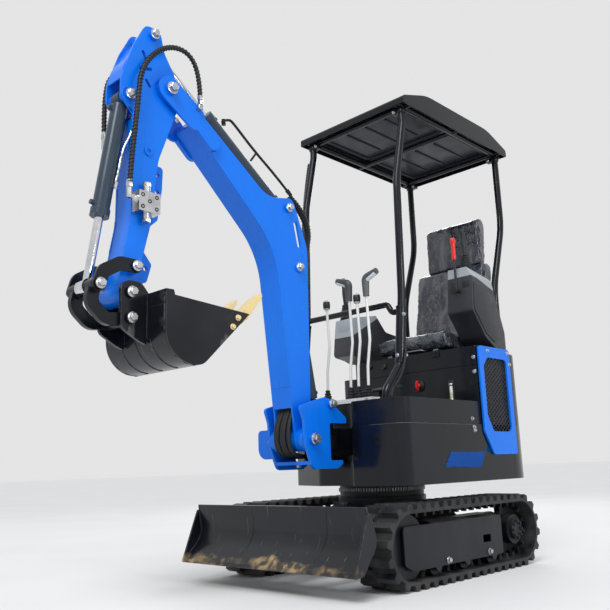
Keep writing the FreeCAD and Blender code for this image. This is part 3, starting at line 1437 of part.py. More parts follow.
def make_consoles():
    """Control consoles on both sides of the seat, and the red safety lever."""
    inner, outer = size.console_inner, size.console_outer
    left = Piece("left_console")
    left.add("front", "-532", "-257", [
        (inner, 955, 4),
        (outer, 955, 4),
        (outer, 1280, 4),
        (outer - 35, 1336, 4),
        (inner, 1336, 4),
    ])
    left.cut("side", "console_inner - 2", "console_outer + 2", [
        (-285, 1336),
        (-440, 1290, 40),
        (-530, 1040),
        (-530, 950),
        (-560, 950),
        (-560, 1360),
        (-285, 1360),
    ])
    left.cut("side", "console_inner - 2", "console_outer + 2", [
        (-285, 1342),
        (-285, 1336, 4),
        (-258, 1122, 20),
        (-352, 1005, 30),
        (-436, 954),
        (-436, 940),
        (-240, 940),
        (-240, 1342),
    ])
    left.add("plan", "box_high", "1010", rectangle(-478, 256, -402, 336, 12))
    right = Piece("right_console")
    right.add("side", "-340", "-224", [
        (-560, size.box_high, 10),
        (-226, size.box_high, 4),
        (-180, 964, 10),
        (-100, 976, 20),
        (-112, 1067, 4),
        (-128, 1166, 14),
        (-311, 1198, 14),
        (-386, 1118, 40),
        (-560, 1096, 20),
    ])
    lever = Piece("safety_lever")
    spot = (-262 + 13, 308)
    lever.add("plan", "1217", "1370", Circle(*spot, "6"))
    lever.add("plan", "1370", "1478", Circle(*spot, "10"))
    lever.add("front", "-269.3", "-249", Circle(spot[1], 1222, "8"))


def make_controls():
    """Travel and blade levers on the floor, and the pedals."""
    shapes = [Part.makeBox(50, 290, 18, Vector(225, -95, size.floor_high))]
    for y, top, hook in ((74, 1155, -1), (117, 1129, 0), (170, 1160, 1), (-60, 1129, 0)):
        foot = size.floor_high + 10
        shapes.append(pipe([
            (Vector(250, y - 14, foot), 0),
            (Vector(250, y - 10, 850), 60),
            (Vector(250, y + 8, 960), 60),
            (Vector(250, y, top + 10), 0),
        ], 6))
        if hook:
            shapes.append(pipe([
                (Vector(250, y, top), 0),
                (Vector(250, y, top + 62), 24),
                (Vector(250, y + hook * 58, top + 84), 0),
            ], 13))
        else:
            shapes.append(Part.makeCylinder(14, 38, Vector(250, y, top)))
    feature("control_levers", joined(shapes))
    sticks = []
    for x, y, level in ((-340, 312, 1330.2), (-165, -300, 1178.7)):
        boot = Part.makeCone(34, 20, 84, Vector(x, y, level))
        grip = pipe([
            (Vector(x, y, level + 76), 0),
            (Vector(x, y, level + 150), 60),
            (Vector(x + 14, y, level + 204), 0),
        ], 17)
        sticks.append(joined([boot, grip]))
    feature("joysticks", Part.makeCompound(sticks))
    pedals = Piece("pedals")
    pedals.add("side", "48", "178", [(40, 772, 4), (160, 748, 4), (162, 758, 4), (42, 782, 4)])
    stem = [(84, size.floor_high), (112, size.floor_high), (108, 768), (90, 772)]
    pedals.add("side", "100", "126", stem)


def make_canopy():
    """Canopy: a crowned roof with a rim, tubes under it, four bent posts and the hand rail."""
    front, rear = size.roof_front, size.roof_rear
    low, rim, rise = size.roof_low, size.roof_rim, size.roof_rise
    crown = [
        (front, low, 4),
        (front, low + rim, 18),
        (front - 190, low + rim + rise, 300),
        (rear + 190, low + rim + rise, 300),
        (rear, low + rim, 18),
        (rear, low, 4),
    ]
    roof = Piece("canopy_roof")
    roof.middle("side", "roof_half", crown)
    hollow = inset(crown, 4)
    hollow[0] = (hollow[0][0], low - 1, 0)
    hollow[-1] = (hollow[-1][0], low - 1, 0)
    roof.cut("side", "-(roof_half - 4)", "roof_half - 4", hollow)
    half = size.post_apart
    tubes = []
    level = low + 12
    for y in (-half, half):
        start = Vector(rear + 4.3, y, level)
        tubes.append(Part.makeCylinder(14, front - rear - 8.6, start, Vector(1, 0, 0)))
    side = size.roof_half - 4.3
    for x in (front - 60, (front + rear) / 2, rear + 60):
        tubes.append(Part.makeCylinder(13, 2 * side, Vector(x, -side, level), Vector(0, 1, 0)))
    feature("canopy_frame", joined(tubes))
    posts = []
    for y, foot in ((-half, size.post_foot_right), (half, size.post_foot_left)):
        posts.append(pipe([
            (Vector(foot, y, size.floor_high), 0),
            (Vector(foot, y, size.floor_high + 34), 70),
            (Vector(size.sleeve_x, y, size.sleeve_low), 90),
            (Vector(146, y, 1150), 500),
            (Vector(128, y, 1690), 500),
            (Vector(58, y, 1985), 120),
            (Vector(58, y, level - 14.3), 0),
        ], size.post_radius))
        sleeve = Vector(size.sleeve_x, y, size.sleeve_low)
        up = Vector(146, y, 1150) - sleeve
        posts.append(Part.makeCylinder(size.post_radius + 5, size.sleeve_long, sleeve, up))
    rail = pipe([
        (Vector(153, half, 1080), 0),
        (Vector(153, half - 50, 1080), 22),
        (Vector(150, half - 76, 1120), 22),
        (Vector(150, -half, 1120), 0),
    ], 13)
    feature("canopy_front_posts", joined(posts + [rail]))
    posts = []
    for y in (-half, half):
        base = Vector(-650, y, size.tail_cover_high)
        posts.append(pipe([
            (base, 0),
            (Vector(-650, y, 1300), 400),
            (Vector(-778, y, 1650), 400),
            (Vector(-778, y, level - 14.3), 0),
        ], size.post_radius))
        posts.append(Part.makeCylinder(size.post_radius + 5, 160, base))
    feature("canopy_rear_posts", Part.makeCompound([joined(posts[:2]), joined(posts[2:])]))


def make_house():
    make_house_frame()
    make_skirt()
    make_counterweight()
    make_floor()
    make_seat_box()
    make_grille()
    make_engine_cover()
    make_seat()
    make_consoles()
    make_controls()
    make_canopy()
    make_post_cables()


def check():
    """Stops before anything is written if an object failed."""
    doc.recompute()
    for item in doc.Objects:
        for word in ("Invalid", "Error"):
            if word in item.State:
                raise RuntimeError("%s: %s" % (item.Label, item.State))
    for node in nodes:
        if node.Shape.isNull() or not node.Shape.isValid():
            raise RuntimeError("%s has no valid shape" % node.Label)


def write():
    os.makedirs("parts", exist_ok=True)
    for node in nodes:
        node.Shape.exportStep("parts/%s.step" % node.Label)


def main():
    fill_sheet()
    make_undercarriage()
    make_house()
    make_digging_arm()
    check()
    write()
    for node in nodes:
        print(node.Label, len(node.Shape.Solids), round(node.Shape.Volume / 1e6, 3))


main()
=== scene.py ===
"""Dressed mini excavator: studio, finishes, soft parts, fasteners, hoses and small fittings."""

import json
import logging
import math
import random
from dataclasses import dataclass
from enum import Enum
from typing import ClassVar, Optional, Sequence

import bmesh
import bpy
from mathutils import Matrix, Vector, noise
from mathutils.bvhtree import BVHTree

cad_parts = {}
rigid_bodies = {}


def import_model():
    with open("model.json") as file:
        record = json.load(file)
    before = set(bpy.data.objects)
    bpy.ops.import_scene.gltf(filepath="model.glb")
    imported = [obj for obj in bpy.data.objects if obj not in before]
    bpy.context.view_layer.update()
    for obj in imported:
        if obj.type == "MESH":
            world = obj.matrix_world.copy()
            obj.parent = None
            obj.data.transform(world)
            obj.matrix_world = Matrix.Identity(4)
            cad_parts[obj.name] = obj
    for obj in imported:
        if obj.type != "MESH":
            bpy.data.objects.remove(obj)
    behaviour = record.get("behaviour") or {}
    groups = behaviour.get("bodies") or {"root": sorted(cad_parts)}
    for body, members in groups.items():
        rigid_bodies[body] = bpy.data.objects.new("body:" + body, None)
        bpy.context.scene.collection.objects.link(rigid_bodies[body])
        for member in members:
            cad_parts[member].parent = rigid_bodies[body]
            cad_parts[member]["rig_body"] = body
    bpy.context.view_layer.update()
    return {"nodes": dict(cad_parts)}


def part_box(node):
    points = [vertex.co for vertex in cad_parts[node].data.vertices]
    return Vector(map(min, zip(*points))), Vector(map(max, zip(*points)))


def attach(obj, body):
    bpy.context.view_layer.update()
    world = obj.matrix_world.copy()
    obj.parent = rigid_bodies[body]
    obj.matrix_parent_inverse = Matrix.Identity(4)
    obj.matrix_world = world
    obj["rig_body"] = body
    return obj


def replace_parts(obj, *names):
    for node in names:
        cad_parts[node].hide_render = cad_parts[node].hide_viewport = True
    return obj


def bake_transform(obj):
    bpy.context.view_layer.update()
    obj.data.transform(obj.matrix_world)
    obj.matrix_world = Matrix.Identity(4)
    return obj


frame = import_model()

# Length of one ripple of a weld bead, in metres.
RIPPLE = 0.004
# Points in one turn of a hose's spiral guard.
TURN_STEPS = 14
# Wires of a mesh on each side of its middle, their reach before they are clipped, and the shortest one kept.
MOST_WIRES = 60
WIRE_REACH = 10.0
SHORTEST_WIRE = 0.002
# Two directions count as parallel where one moves less than this across the other.
PARALLEL = 1e-12
# Distance from the centre plane of the casts that find the seats of the pins' heads, in millimetres.
OUTSIDE = 420

log = logging.getLogger("mini_excavator")

Point = tuple[float, float, float]
Pair = tuple[float, float]
Place = Vector | Point
Outline = Sequence[Pair]
Socket = bpy.types.NodeSocket
Vert = bmesh.types.BMVert


def mm(*values: float) -> Vector:
    """A point given in millimetres."""
    return Vector(values) / 1000


def linear(red: int, green: int, blue: int) -> tuple[float, float, float, float]:
    """A display colour of 0 to 255 as the shader's linear colour."""
    parts = [c / 255 for c in (red, green, blue)]
    return (*[c / 12.92 if c <= 0.04045 else ((c + 0.055) / 1.055) ** 2.4 for c in parts], 1.0)


class Side(Enum):
    """The machine's two sides."""

    LEFT = 1
    RIGHT = -1


class Tone(Enum):
    """Base colours of the machine, as display colours; a few are lighter than the real surface and hold
    painted highlight or reflection, as noted at each.
    """

    BLUE = (0, 112, 232)
    BLUE_LIGHT = (18, 140, 246)
    BLACK = (11, 13, 20)
    BLACK_LIGHT = (46, 51, 62)
    GRAPHITE = (27, 31, 40)
    # Lighter than the barrels' black paint: painted reflection of the pale studio in their gloss.
    SLATE_PAINTED_REFLECTION = (50, 64, 78)
    RUBBER = (20, 22, 28)
    DUST = (150, 148, 142)
    CONSOLE_GREY = (150, 158, 166)
    LEVER_WHITE = (226, 228, 226)
    TOOTH = (232, 206, 138)
    RED = (214, 26, 34)
    ZINC = (206, 208, 210)
    STEEL = (148, 150, 154)
    CHROME = (226, 228, 232)
    MUD = (190, 164, 120)
    SOIL = (74, 66, 58)
    FLOOR = (232, 233, 234)
    VINYL = (20, 24, 32)
    VINYL_LIGHT = (50, 55, 66)
    # Pale film tone: partly the clear film's whitish creases, partly painted highlight on its gloss.
    FILM_AND_PAINTED_HIGHLIGHT = (198, 206, 218)
    OIL = (206, 200, 168)
    OIL_DARK = (176, 168, 128)
    CLEAR_TUBE = (226, 230, 228)

    @property
    def rgba(self) -> tuple[float, float, float, float]:
        """The tone as a linear colour."""
        return linear(*self.value)


class Recipe:
    """A material under construction: its node tree, and short ways to add to it."""

    def __init__(self, name: str) -> None:
        """Starts a material that holds only a shader.

        Args:
            name: the material's name.
        """
        self.material = bpy.data.materials.new(name)
        self.material.use_nodes = True
        self.tree = self.material.node_tree
        self.tree.nodes.clear()
        self.output = self.tree.nodes.new("ShaderNodeOutputMaterial")
        self.shader = self.tree.nodes.new("ShaderNodeBsdfPrincipled")
        self.tree.links.new(self.shader.outputs[0], self.output.inputs["Surface"])
        self.place = self.node("ShaderNodeTexCoord").outputs["Object"]
        self.normal: Optional[Socket] = None

    def node(self, kind: str, **settings: object) -> bpy.types.Node:
        """Adds a node and sets its properties."""
        made = self.tree.nodes.new(kind)
        for key, value in settings.items():
            setattr(made, key, value)
        return made

    def set(self, **sockets: object) -> None:
        """Sets or links the shader's sockets; underscores in the names stand for spaces."""
        for key, value in sockets.items():
            self.feed(self.shader.inputs[key.replace("_", " ")], value)

    def feed(self, socket: Socket, value: object) -> None:
        """Links a socket to another one, or sets it to a constant."""
        if isinstance(value, bpy.types.NodeSocket):
            self.tree.links.new(value, socket)
        elif value is not None:
            socket.default_value = value

    def stretched(self, scale: Point) -> Socket:
        """The object's coordinates, scaled apart along each axis."""
        made = self.node("ShaderNodeMapping")
        self.feed(made.inputs["Vector"], self.place)
        made.inputs["Scale"].default_value = scale
        return made.outputs[0]

    def noise(self, scale: float, detail: float = 3.0, along: Point = (1, 1, 1)) -> Socket:
        """Cloudy noise.

        Args:
            scale: cells in a metre.
            detail: octaves.
            along: stretch of the pattern, as factors of the scale along X, Y and Z.

        Returns:
            The noise's value, around 0.5.
        """
        made = self.node("ShaderNodeTexNoise")
        made.inputs["Scale"].default_value = scale
        made.inputs["Detail"].default_value = detail
        self.feed(made.inputs["Vector"], self.place if along == (1, 1, 1) else self.stretched(along))
        return made.outputs[0]

    def cells(self, scale: float, feature: str = "F1") -> Socket:
        """Cell pattern: the distance to the nearest cell's middle or edge."""
        made = self.node("ShaderNodeTexVoronoi", feature=feature)
        made.inputs["Scale"].default_value = scale
        self.feed(made.inputs["Vector"], self.place)
        return made.outputs["Distance"]

    def fit(self, value: Socket, low: float, high: float, first: float = 0.0, last: float = 1.0) -> Socket:
        """Maps low..high of a value to first..last, and holds it there."""
        made = self.node("ShaderNodeMapRange")
        self.feed(made.inputs["Value"], value)
        for index, number in enumerate((low, high, first, last), start=1):
            made.inputs[index].default_value = number
        return made.outputs[0]

    def maths(self, operation: str, first: object, second: object = None) -> Socket:
        """One arithmetic step."""
        made = self.node("ShaderNodeMath", operation=operation)
        self.feed(made.inputs[0], first)
        self.feed(made.inputs[1], second)
        return made.outputs[0]

    def blend(self, factor: object, first: object, second: object) -> Socket:
        """Mixes two colours."""
        made = self.node("ShaderNodeMix", data_type="RGBA")
        self.feed(made.inputs[0], factor)
        self.feed(made.inputs[6], first)
        self.feed(made.inputs[7], second)
        return made.outputs[2]

    def height(self, axis: str = "Z") -> Socket:
        """The surface point's own coordinate along an axis, in metres."""
        made = self.node("ShaderNodeSeparateXYZ")
        self.feed(made.inputs[0], self.place)
        return made.outputs[axis]

    def upward(self) -> Socket:
        """How far the surface faces up, from 0 to 1."""
        turned = self.node("ShaderNodeSeparateXYZ")
        self.feed(turned.inputs[0], self.node("ShaderNodeNewGeometry").outputs["Normal"])
        return self.fit(turned.outputs["Z"], 0.3, 0.95)

    def rounded(self, radius: float) -> Socket:
        """Softens the shading of edges, and returns how near an edge the surface is, from 0 to 1."""
        bevel = self.node("ShaderNodeBevel", samples=4)
        bevel.inputs["Radius"].default_value = radius
        flat = self.node("ShaderNodeNewGeometry").outputs["True Normal"]
        apart = self.node("ShaderNodeVectorMath", operation="DOT_PRODUCT")
        self.feed(apart.inputs[0], bevel.outputs[0])
        self.feed(apart.inputs[1], flat)
        self.normal = bevel.outputs[0]
        return self.fit(apart.outputs["Value"], 0.995, 0.86)

    def bump(self, height: Socket, strength: float, distance: float) -> None:
        """Adds a relief to the shading.

        Args:
            height: the relief's value.
            strength: its share, from 0 to 1.
            distance: its full height in metres.
        """
        made = self.node("ShaderNodeBump")
        made.inputs["Strength"].default_value = strength
        made.inputs["Distance"].default_value = distance
        self.feed(made.inputs["Height"], height)
        self.feed(made.inputs["Normal"], self.normal)
        self.normal = made.outputs[0]

    def done(self) -> bpy.types.Material:
        """Links the shading normal and returns the material."""
        if self.normal is not None:
            self.set(Normal=self.normal)
        return self.material


@dataclass(frozen=True)
class Finish:
    """A surface finish, which is made into a material once.

    Attributes:
        name: the material's name.
        slot: the material of the record that it stands for; not used.
        made: the materials made so far, by name.
    """

    name: str
    slot: str
    made: ClassVar[dict[str, bpy.types.Material]] = {}

    def mix(self, recipe: Recipe) -> None:
        """Adds the finish's nodes to a recipe."""
        raise NotImplementedError

    def material(self) -> bpy.types.Material:
        """The finish's material."""
        if self.name not in Finish.made:
            recipe = Recipe(self.name)
            self.mix(recipe)
            Finish.made[self.name] = recipe.done()
        return Finish.made[self.name]


@dataclass(frozen=True)
class Enamel(Finish):
    """Sprayed enamel on steel: orange peel, a thin clear gloss, dust on top and rubbed edges.

    Attributes:
        tone: the paint's colour.
        light: the colour of its lighter clouds and of rubbed edges.
        roughness: its usual roughness.
        peel: strength of the orange peel.
        dust: share of dust on faces that look up.
        wear: how much of the edges is rubbed.
        edge: radius of the softened edges, in metres.
    """

    tone: Tone = Tone.BLACK
    light: Tone = Tone.BLACK_LIGHT
    roughness: float = 0.3
    peel: float = 0.12
    dust: float = 0.12
    wear: float = 0.35
    edge: float = 0.003

    def mix(self, recipe: Recipe) -> None:
        """Paint, its light edges and a thin film of dust."""
        near_edge = recipe.rounded(self.edge)
        clouds = recipe.noise(2.6, 4.0)
        paint = recipe.blend(recipe.fit(clouds, 0.3, 0.75, 0.0, 0.16), self.tone.rgba, self.light.rgba)
        chips = recipe.fit(recipe.noise(85, 5.0), 0.42, 0.62)
        rubbed = recipe.maths("MULTIPLY", recipe.maths("MULTIPLY", near_edge, chips), self.wear)
        paint = recipe.blend(rubbed, paint, self.light.rgba)
        grime = recipe.fit(recipe.noise(9, 6.0), 0.35, 0.75)
        film = recipe.maths("MULTIPLY", recipe.maths("MULTIPLY", recipe.upward(), grime), self.dust)
        recipe.set(Base_Color=recipe.blend(film, paint, Tone.DUST.rgba))
        streaks = recipe.noise(14, 5.0, (1, 1, 0.35))
        smear = recipe.fit(streaks, 0.3, 0.7, self.roughness - 0.06, self.roughness + 0.1)
        recipe.set(Roughness=recipe.maths("ADD", smear, recipe.maths("MULTIPLY", film, 1.2)))
        recipe.set(Specular_IOR_Level=0.24, Coat_Weight=0.12, Coat_Roughness=0.06)
        recipe.bump(recipe.noise(260, 2.0), self.peel, 0.0006)


@dataclass(frozen=True)
class WornEnamel(Finish):
    """Black enamel on steel that works in the ground: scratches all over, scuffed soil near one end.

    Attributes:
        low: coordinate up to which the soil is full, in metres.
        high: coordinate where it ends, in metres.
        axis: the axis of these coordinates.
        bare: strength of the scratches.
        soil: strength of the soil.
    """

    low: float = 0.0
    high: float = 1.0
    axis: str = "Z"
    bare: float = 0.3
    soil: float = 0.5

    def mix(self, recipe: Recipe) -> None:
        """Paint, fine scratches, rubbed edges and a ragged strip of soil."""
        near_edge = recipe.rounded(0.003)
        clouds = recipe.noise(4.5, 5.0)
        paint = recipe.blend(recipe.fit(clouds, 0.35, 0.7, 0.0, 0.3), Tone.BLACK.rgba, Tone.BLACK_LIGHT.rgba)
        ragged = recipe.fit(recipe.noise(9, 6.0, (1, 1, 0.5)), 0.25, 0.75, -0.024, 0.024)
        level = recipe.maths("ADD", recipe.height(self.axis), ragged)
        worn = recipe.fit(level, self.low, self.high, 1.0, 0.0)
        edges = recipe.maths("MULTIPLY", near_edge, recipe.fit(recipe.noise(60, 4.0), 0.35, 0.6))
        scratches = recipe.fit(recipe.noise(70, 3.0, (0.3, 1.4, 0.12)), 0.66, 0.72)
        scraped = recipe.maths("MULTIPLY", scratches, self.bare)
        scraped = recipe.maths("MAXIMUM", scraped, recipe.maths("MULTIPLY", edges, 0.5))
        metal = recipe.blend(scraped, paint, Tone.STEEL.rgba)
        earth = recipe.blend(recipe.fit(recipe.noise(26, 6.0), 0.42, 0.58), Tone.SOIL.rgba, Tone.MUD.rgba)
        patches = recipe.fit(recipe.noise(7, 6.0, (1, 0.5, 1)), 0.36, 0.52)
        soiled = recipe.maths("MULTIPLY", recipe.maths("MULTIPLY", worn, patches), self.soil)
        recipe.set(Base_Color=recipe.blend(soiled, metal, earth))
        recipe.set(Metallic=recipe.maths("MULTIPLY", scraped, 0.8))
        gloss = recipe.fit(clouds, 0.3, 0.7, 0.16, 0.3)
        recipe.set(Roughness=recipe.maths("ADD", gloss, recipe.maths("MULTIPLY", soiled, 0.5)))
        recipe.set(Specular_IOR_Level=0.28, Coat_Weight=0.15, Coat_Roughness=0.1)
        recipe.bump(recipe.noise(180, 4.0), 0.1, 0.0008)


@dataclass(frozen=True)
class BareMetal(Finish):
    """Plated or polished steel.

    Attributes:
        tone: the metal's colour.
        roughness: its usual roughness.
        grain: strength of the relief.
        along: stretch of the pattern along X, Y and Z.
    """

    tone: Tone = Tone.ZINC
    roughness: float = 0.3
    grain: float = 0.1
    along: Point = (1, 1, 1)

    def mix(self, recipe: Recipe) -> None:
        """Metal with a faint grain and cloudy plating."""
        clouds = recipe.noise(22, 4.0)
        dark = tuple(0.72 * c for c in self.tone.rgba[:3]) + (1.0,)
        recipe.set(Base_Color=recipe.blend(recipe.fit(clouds, 0.3, 0.75), dark, self.tone.rgba))
        recipe.set(Metallic=1.0)
        scuffs = recipe.noise(60, 5.0, self.along)
        recipe.set(Roughness=recipe.fit(scuffs, 0.3, 0.7, self.roughness * 0.7, self.roughness * 1.3))
        recipe.bump(recipe.noise(320, 3.0, self.along), self.grain, 0.0004)


@dataclass(frozen=True)
class Rubber(Finish):
    """Moulded rubber, matt and dusty where it is raised.

    Attributes:
        dust: share of grey dust.
        tone: the rubber's colour.
    """

    dust: float = 0.3
    tone: Tone = Tone.RUBBER

    def mix(self, recipe: Recipe) -> None:
        """Black rubber with grey dust rubbed into its edges."""
        near_edge = recipe.rounded(0.004)
        clouds = recipe.fit(recipe.noise(12, 6.0), 0.38, 0.72)
        amount = recipe.maths("MAXIMUM", recipe.maths("MULTIPLY", near_edge, 0.7), clouds)
        amount = recipe.maths("MULTIPLY", amount, self.dust)
        recipe.set(Base_Color=recipe.blend(amount, self.tone.rgba, Tone.DUST.rgba))
        recipe.set(Roughness=recipe.fit(clouds, 0.0, 1.0, 0.42, 0.7), Specular_IOR_Level=0.32)
        recipe.bump(recipe.noise(420, 4.0), 0.25, 0.0006)


@dataclass(frozen=True)
class Moulded(Finish):
    """Moulded plastic with a fine pebbled grain.

    Attributes:
        tone: the plastic's colour.
        roughness: its usual roughness.
        grain: strength of the pebbling.
        light: how far its tone changes.
    """

    tone: Tone = Tone.GRAPHITE
    roughness: float = 0.45
    grain: float = 0.3
    light: float = 0.12

    def mix(self, recipe: Recipe) -> None:
        """Plastic with a grain and a slight change of tone."""
        recipe.rounded(0.002)
        clouds = recipe.fit(recipe.noise(6, 4.0), 0.3, 0.7, 0.0, self.light)
        recipe.set(Base_Color=recipe.blend(clouds, self.tone.rgba, Tone.DUST.rgba))
        sheen = recipe.noise(30, 4.0)
        recipe.set(Roughness=recipe.fit(sheen, 0.3, 0.7, self.roughness - 0.08, self.roughness + 0.08))
        recipe.bump(recipe.cells(700), self.grain, 0.0003)


@dataclass(frozen=True)
class SplitMoulding(Finish):
    """Console moulding: a pale grey cap above a black shell, with the joint between them.

    Attributes:
        start: x where the joint has its level, in metres.
        level: the joint's height there, in metres.
        slope: its rise for each metre forward.
    """

    start: float = 0.0
    level: float = 1.0
    slope: float = 0.0

    def mix(self, recipe: Recipe) -> None:
        """Two grained plastics that meet on a slanted plane."""
        recipe.rounded(0.006)
        rise = recipe.maths("MULTIPLY", recipe.maths("SUBTRACT", recipe.height("X"), self.start), self.slope)
        above = recipe.maths("SUBTRACT", recipe.maths("SUBTRACT", recipe.height(), rise), self.level)
        clouds = recipe.fit(recipe.noise(6, 4.0), 0.3, 0.7, 0.0, 0.1)
        shell = recipe.blend(clouds, Tone.GRAPHITE.rgba, Tone.DUST.rgba)
        cap = recipe.blend(clouds, Tone.CONSOLE_GREY.rgba, Tone.LEVER_WHITE.rgba)
        tone = recipe.blend(recipe.fit(above, -0.0005, 0.0005), shell, cap)
        joint = recipe.fit(recipe.maths("ABSOLUTE", above), 0.0008, 0.0016, 1.0, 0.0)
        recipe.set(Base_Color=recipe.blend(joint, tone, Tone.BLACK.rgba))
        recipe.set(Roughness=recipe.fit(recipe.noise(30, 4.0), 0.3, 0.7, 0.34, 0.5))
        recipe.bump(recipe.cells(700), 0.3, 0.0003)


@dataclass(frozen=True)
class WrappedVinyl(Finish):
    """Seat cover under its clear delivery film: dark vinyl, pale creases with painted highlight streaks, and
    a glossy creased coat over it.
    """

    def creased(self, recipe: Recipe, scale: float, width: float) -> Socket:
        """Thin crooked lines, where a noise passes its middle value."""
        off = recipe.maths("ABSOLUTE", recipe.maths("SUBTRACT", recipe.noise(scale, 4.0, (1, 1, 0.4)), 0.5))
        return recipe.fit(off, 0.0, width, 1.0, 0.0)

    def mix(self, recipe: Recipe) -> None:
        """Vinyl below, thin pale creases of the film, pale streaks of painted highlight, and a clear gloss
        with a relief.
        """
        large = recipe.maths("MULTIPLY", self.creased(recipe, 17, 0.012), 0.6)
        loose = recipe.fit(recipe.noise(9, 3.0), 0.42, 0.62)
        small = recipe.maths("MULTIPLY", self.creased(recipe, 42, 0.022), loose)
        lines = recipe.maths("MAXIMUM", large, small)
        # Pale vertical streaks: painted highlight for the light on the film's glossy wrinkles.
        painted_highlight_streaks = recipe.maths("MULTIPLY", recipe.fit(recipe.noise(13, 5.0, (1, 1, 0.35)), 0.5, 0.72), 0.7)
        # The pale mix is partly the film's own whitish creases and partly painted highlight.
        crease_and_painted_highlight = recipe.maths("MULTIPLY", recipe.maths("MAXIMUM", lines, painted_highlight_streaks), 0.3)
        shade = recipe.fit(recipe.noise(6, 4.0), 0.35, 0.7)
        vinyl = recipe.blend(shade, Tone.VINYL.rgba, Tone.VINYL_LIGHT.rgba)
        recipe.set(Base_Color=recipe.blend(crease_and_painted_highlight, vinyl, Tone.FILM_AND_PAINTED_HIGHLIGHT.rgba))
        recipe.set(Roughness=recipe.fit(recipe.noise(24, 4.0), 0.3, 0.7, 0.14, 0.34))
        recipe.bump(recipe.noise(22, 3.0, (1, 1, 0.5)), 0.5, 0.008)
        recipe.bump(lines, 0.35, 0.0015)
        recipe.set(Specular_IOR_Level=0.3, Coat_Weight=0.7, Coat_Roughness=0.05)


@dataclass(frozen=True)
class GaugeGlass(Finish):
    """Sight glass of the level gauge: pale oil behind a clear tube.

    Attributes:
        surface: height of the oil's surface in metres.
    """

    surface: float = 0.75

    def mix(self, recipe: Recipe) -> None:
        """Oil up to its line, and a pale empty tube above it."""
        level = recipe.fit(recipe.height(), self.surface - 0.002, self.surface + 0.002)
        oil = recipe.fit(recipe.noise(40, 3.0), 0.3, 0.7, 0.0, 0.3)
        tint = recipe.blend(oil, Tone.OIL.rgba, Tone.OIL_DARK.rgba)
        recipe.set(Base_Color=recipe.blend(level, tint, Tone.CLEAR_TUBE.rgba))
        recipe.set(Roughness=0.08, Coat_Weight=0.6)
        recipe.bump(recipe.noise(120, 2.0), 0.05, 0.0004)


@dataclass(frozen=True)
class StudioFloor(Finish):
    """Plain pale floor."""

    def mix(self, recipe: Recipe) -> None:
        """Matt floor with a barely visible grain."""
        tone = Tone.FLOOR.rgba
        soft = tuple(0.96 * c for c in tone[:3]) + (1.0,)
        recipe.set(Base_Color=recipe.blend(recipe.fit(recipe.noise(1.2, 4.0), 0.3, 0.7), soft, tone))
        recipe.set(Roughness=0.7, Specular_IOR_Level=0.2)


BLUE_PAINT = Enamel("blue_enamel", "blue_paint", Tone.BLUE, Tone.BLUE_LIGHT, 0.28, 0.1, 0.08, 0.5)
BLACK_PAINT = Enamel("black_enamel", "black_paint", Tone.BLACK, Tone.BLACK_LIGHT, 0.26, 0.12, 0.16, 0.5)
FRAME_PAINT = Enamel("frame_enamel", "black_paint", Tone.BLACK, Tone.BLACK_LIGHT, 0.4, 0.16, 0.35, 0.6)
# The barrels are black; their slate base tone is painted reflection of the light on their gloss.
BARREL_PAINT = Enamel("barrel_enamel", "cylinder_black", Tone.SLATE_PAINTED_REFLECTION, Tone.BLACK_LIGHT, 0.18, 0.05, 0.1, 0.3)
CANOPY_PAINT = Enamel("canopy_enamel", "black_paint", Tone.BLACK, Tone.BLACK_LIGHT, 0.22, 0.1, 0.25, 0.3)
BLADE_PAINT = WornEnamel("blade_enamel", "black_paint", 0.106, 0.12, "Z", 0.3, 0.8)
BUCKET_PAINT = WornEnamel("bucket_enamel", "black_paint", 0.86, 1.06, "X", 0.3, 0.1)
TOOTH_PAINT = Enamel("tooth_enamel", "tooth_paint", Tone.TOOTH, Tone.LEVER_WHITE, 0.42, 0.25, 0.2, 0.7)
CHROME = BareMetal("chrome_plating", "chrome_rod", Tone.CHROME, 0.1, 0.03)
ZINC = BareMetal("zinc_plated_steel", "bright_steel", Tone.ZINC, 0.3, 0.1)
STEEL = BareMetal("dark_steel", "bright_steel", Tone.STEEL, 0.42, 0.3)
TRACK_RUBBER = Rubber("track_rubber", "track_rubber", 0.15)
HOSE_RUBBER = Rubber("hose_rubber", "hose_rubber", 0.08)
GUARD = Moulded("hose_guard", "hose_rubber", Tone.BLACK, 0.32, 0.1, 0.05)
CONSOLE_BLACK = Moulded("console_black", "black_plastic", Tone.GRAPHITE, 0.4, 0.35, 0.04)
CONSOLE_GREY = Moulded("console_grey", "black_plastic", Tone.CONSOLE_GREY, 0.42, 0.3, 0.1)
GRIP = Moulded("grip_black", "black_plastic", Tone.BLACK, 0.5, 0.4, 0.04)
RED_PLASTIC = Moulded("red_plastic", "red_plastic", Tone.RED, 0.3, 0.1, 0.02)
LEVER_PAINT = Enamel("lever_enamel", "bright_steel", Tone.LEVER_WHITE, Tone.ZINC, 0.3, 0.08, 0.05, 0.4)
SEAT_VINYL = WrappedVinyl("wrapped_vinyl", "seat_vinyl")
CAST = Enamel("black_casting", "cast_black", Tone.BLACK, Tone.BLACK_LIGHT, 0.46, 0.6, 0.3, 0.5, 0.004)
MESH_BLUE = Enamel("mesh_enamel", "blue_mesh", Tone.BLUE, Tone.BLUE_LIGHT, 0.34, 0.1, 0.02, 0.3, 0.001)
# A flat black sheet behind the vent mesh: painted shade for the dark inside the opening.
PAINTED_SHADE_SHEET = Enamel("painted_shade_enamel", "black_paint", Tone.BLACK, Tone.BLACK, 0.7, 0.1, 0.0, 0.0)
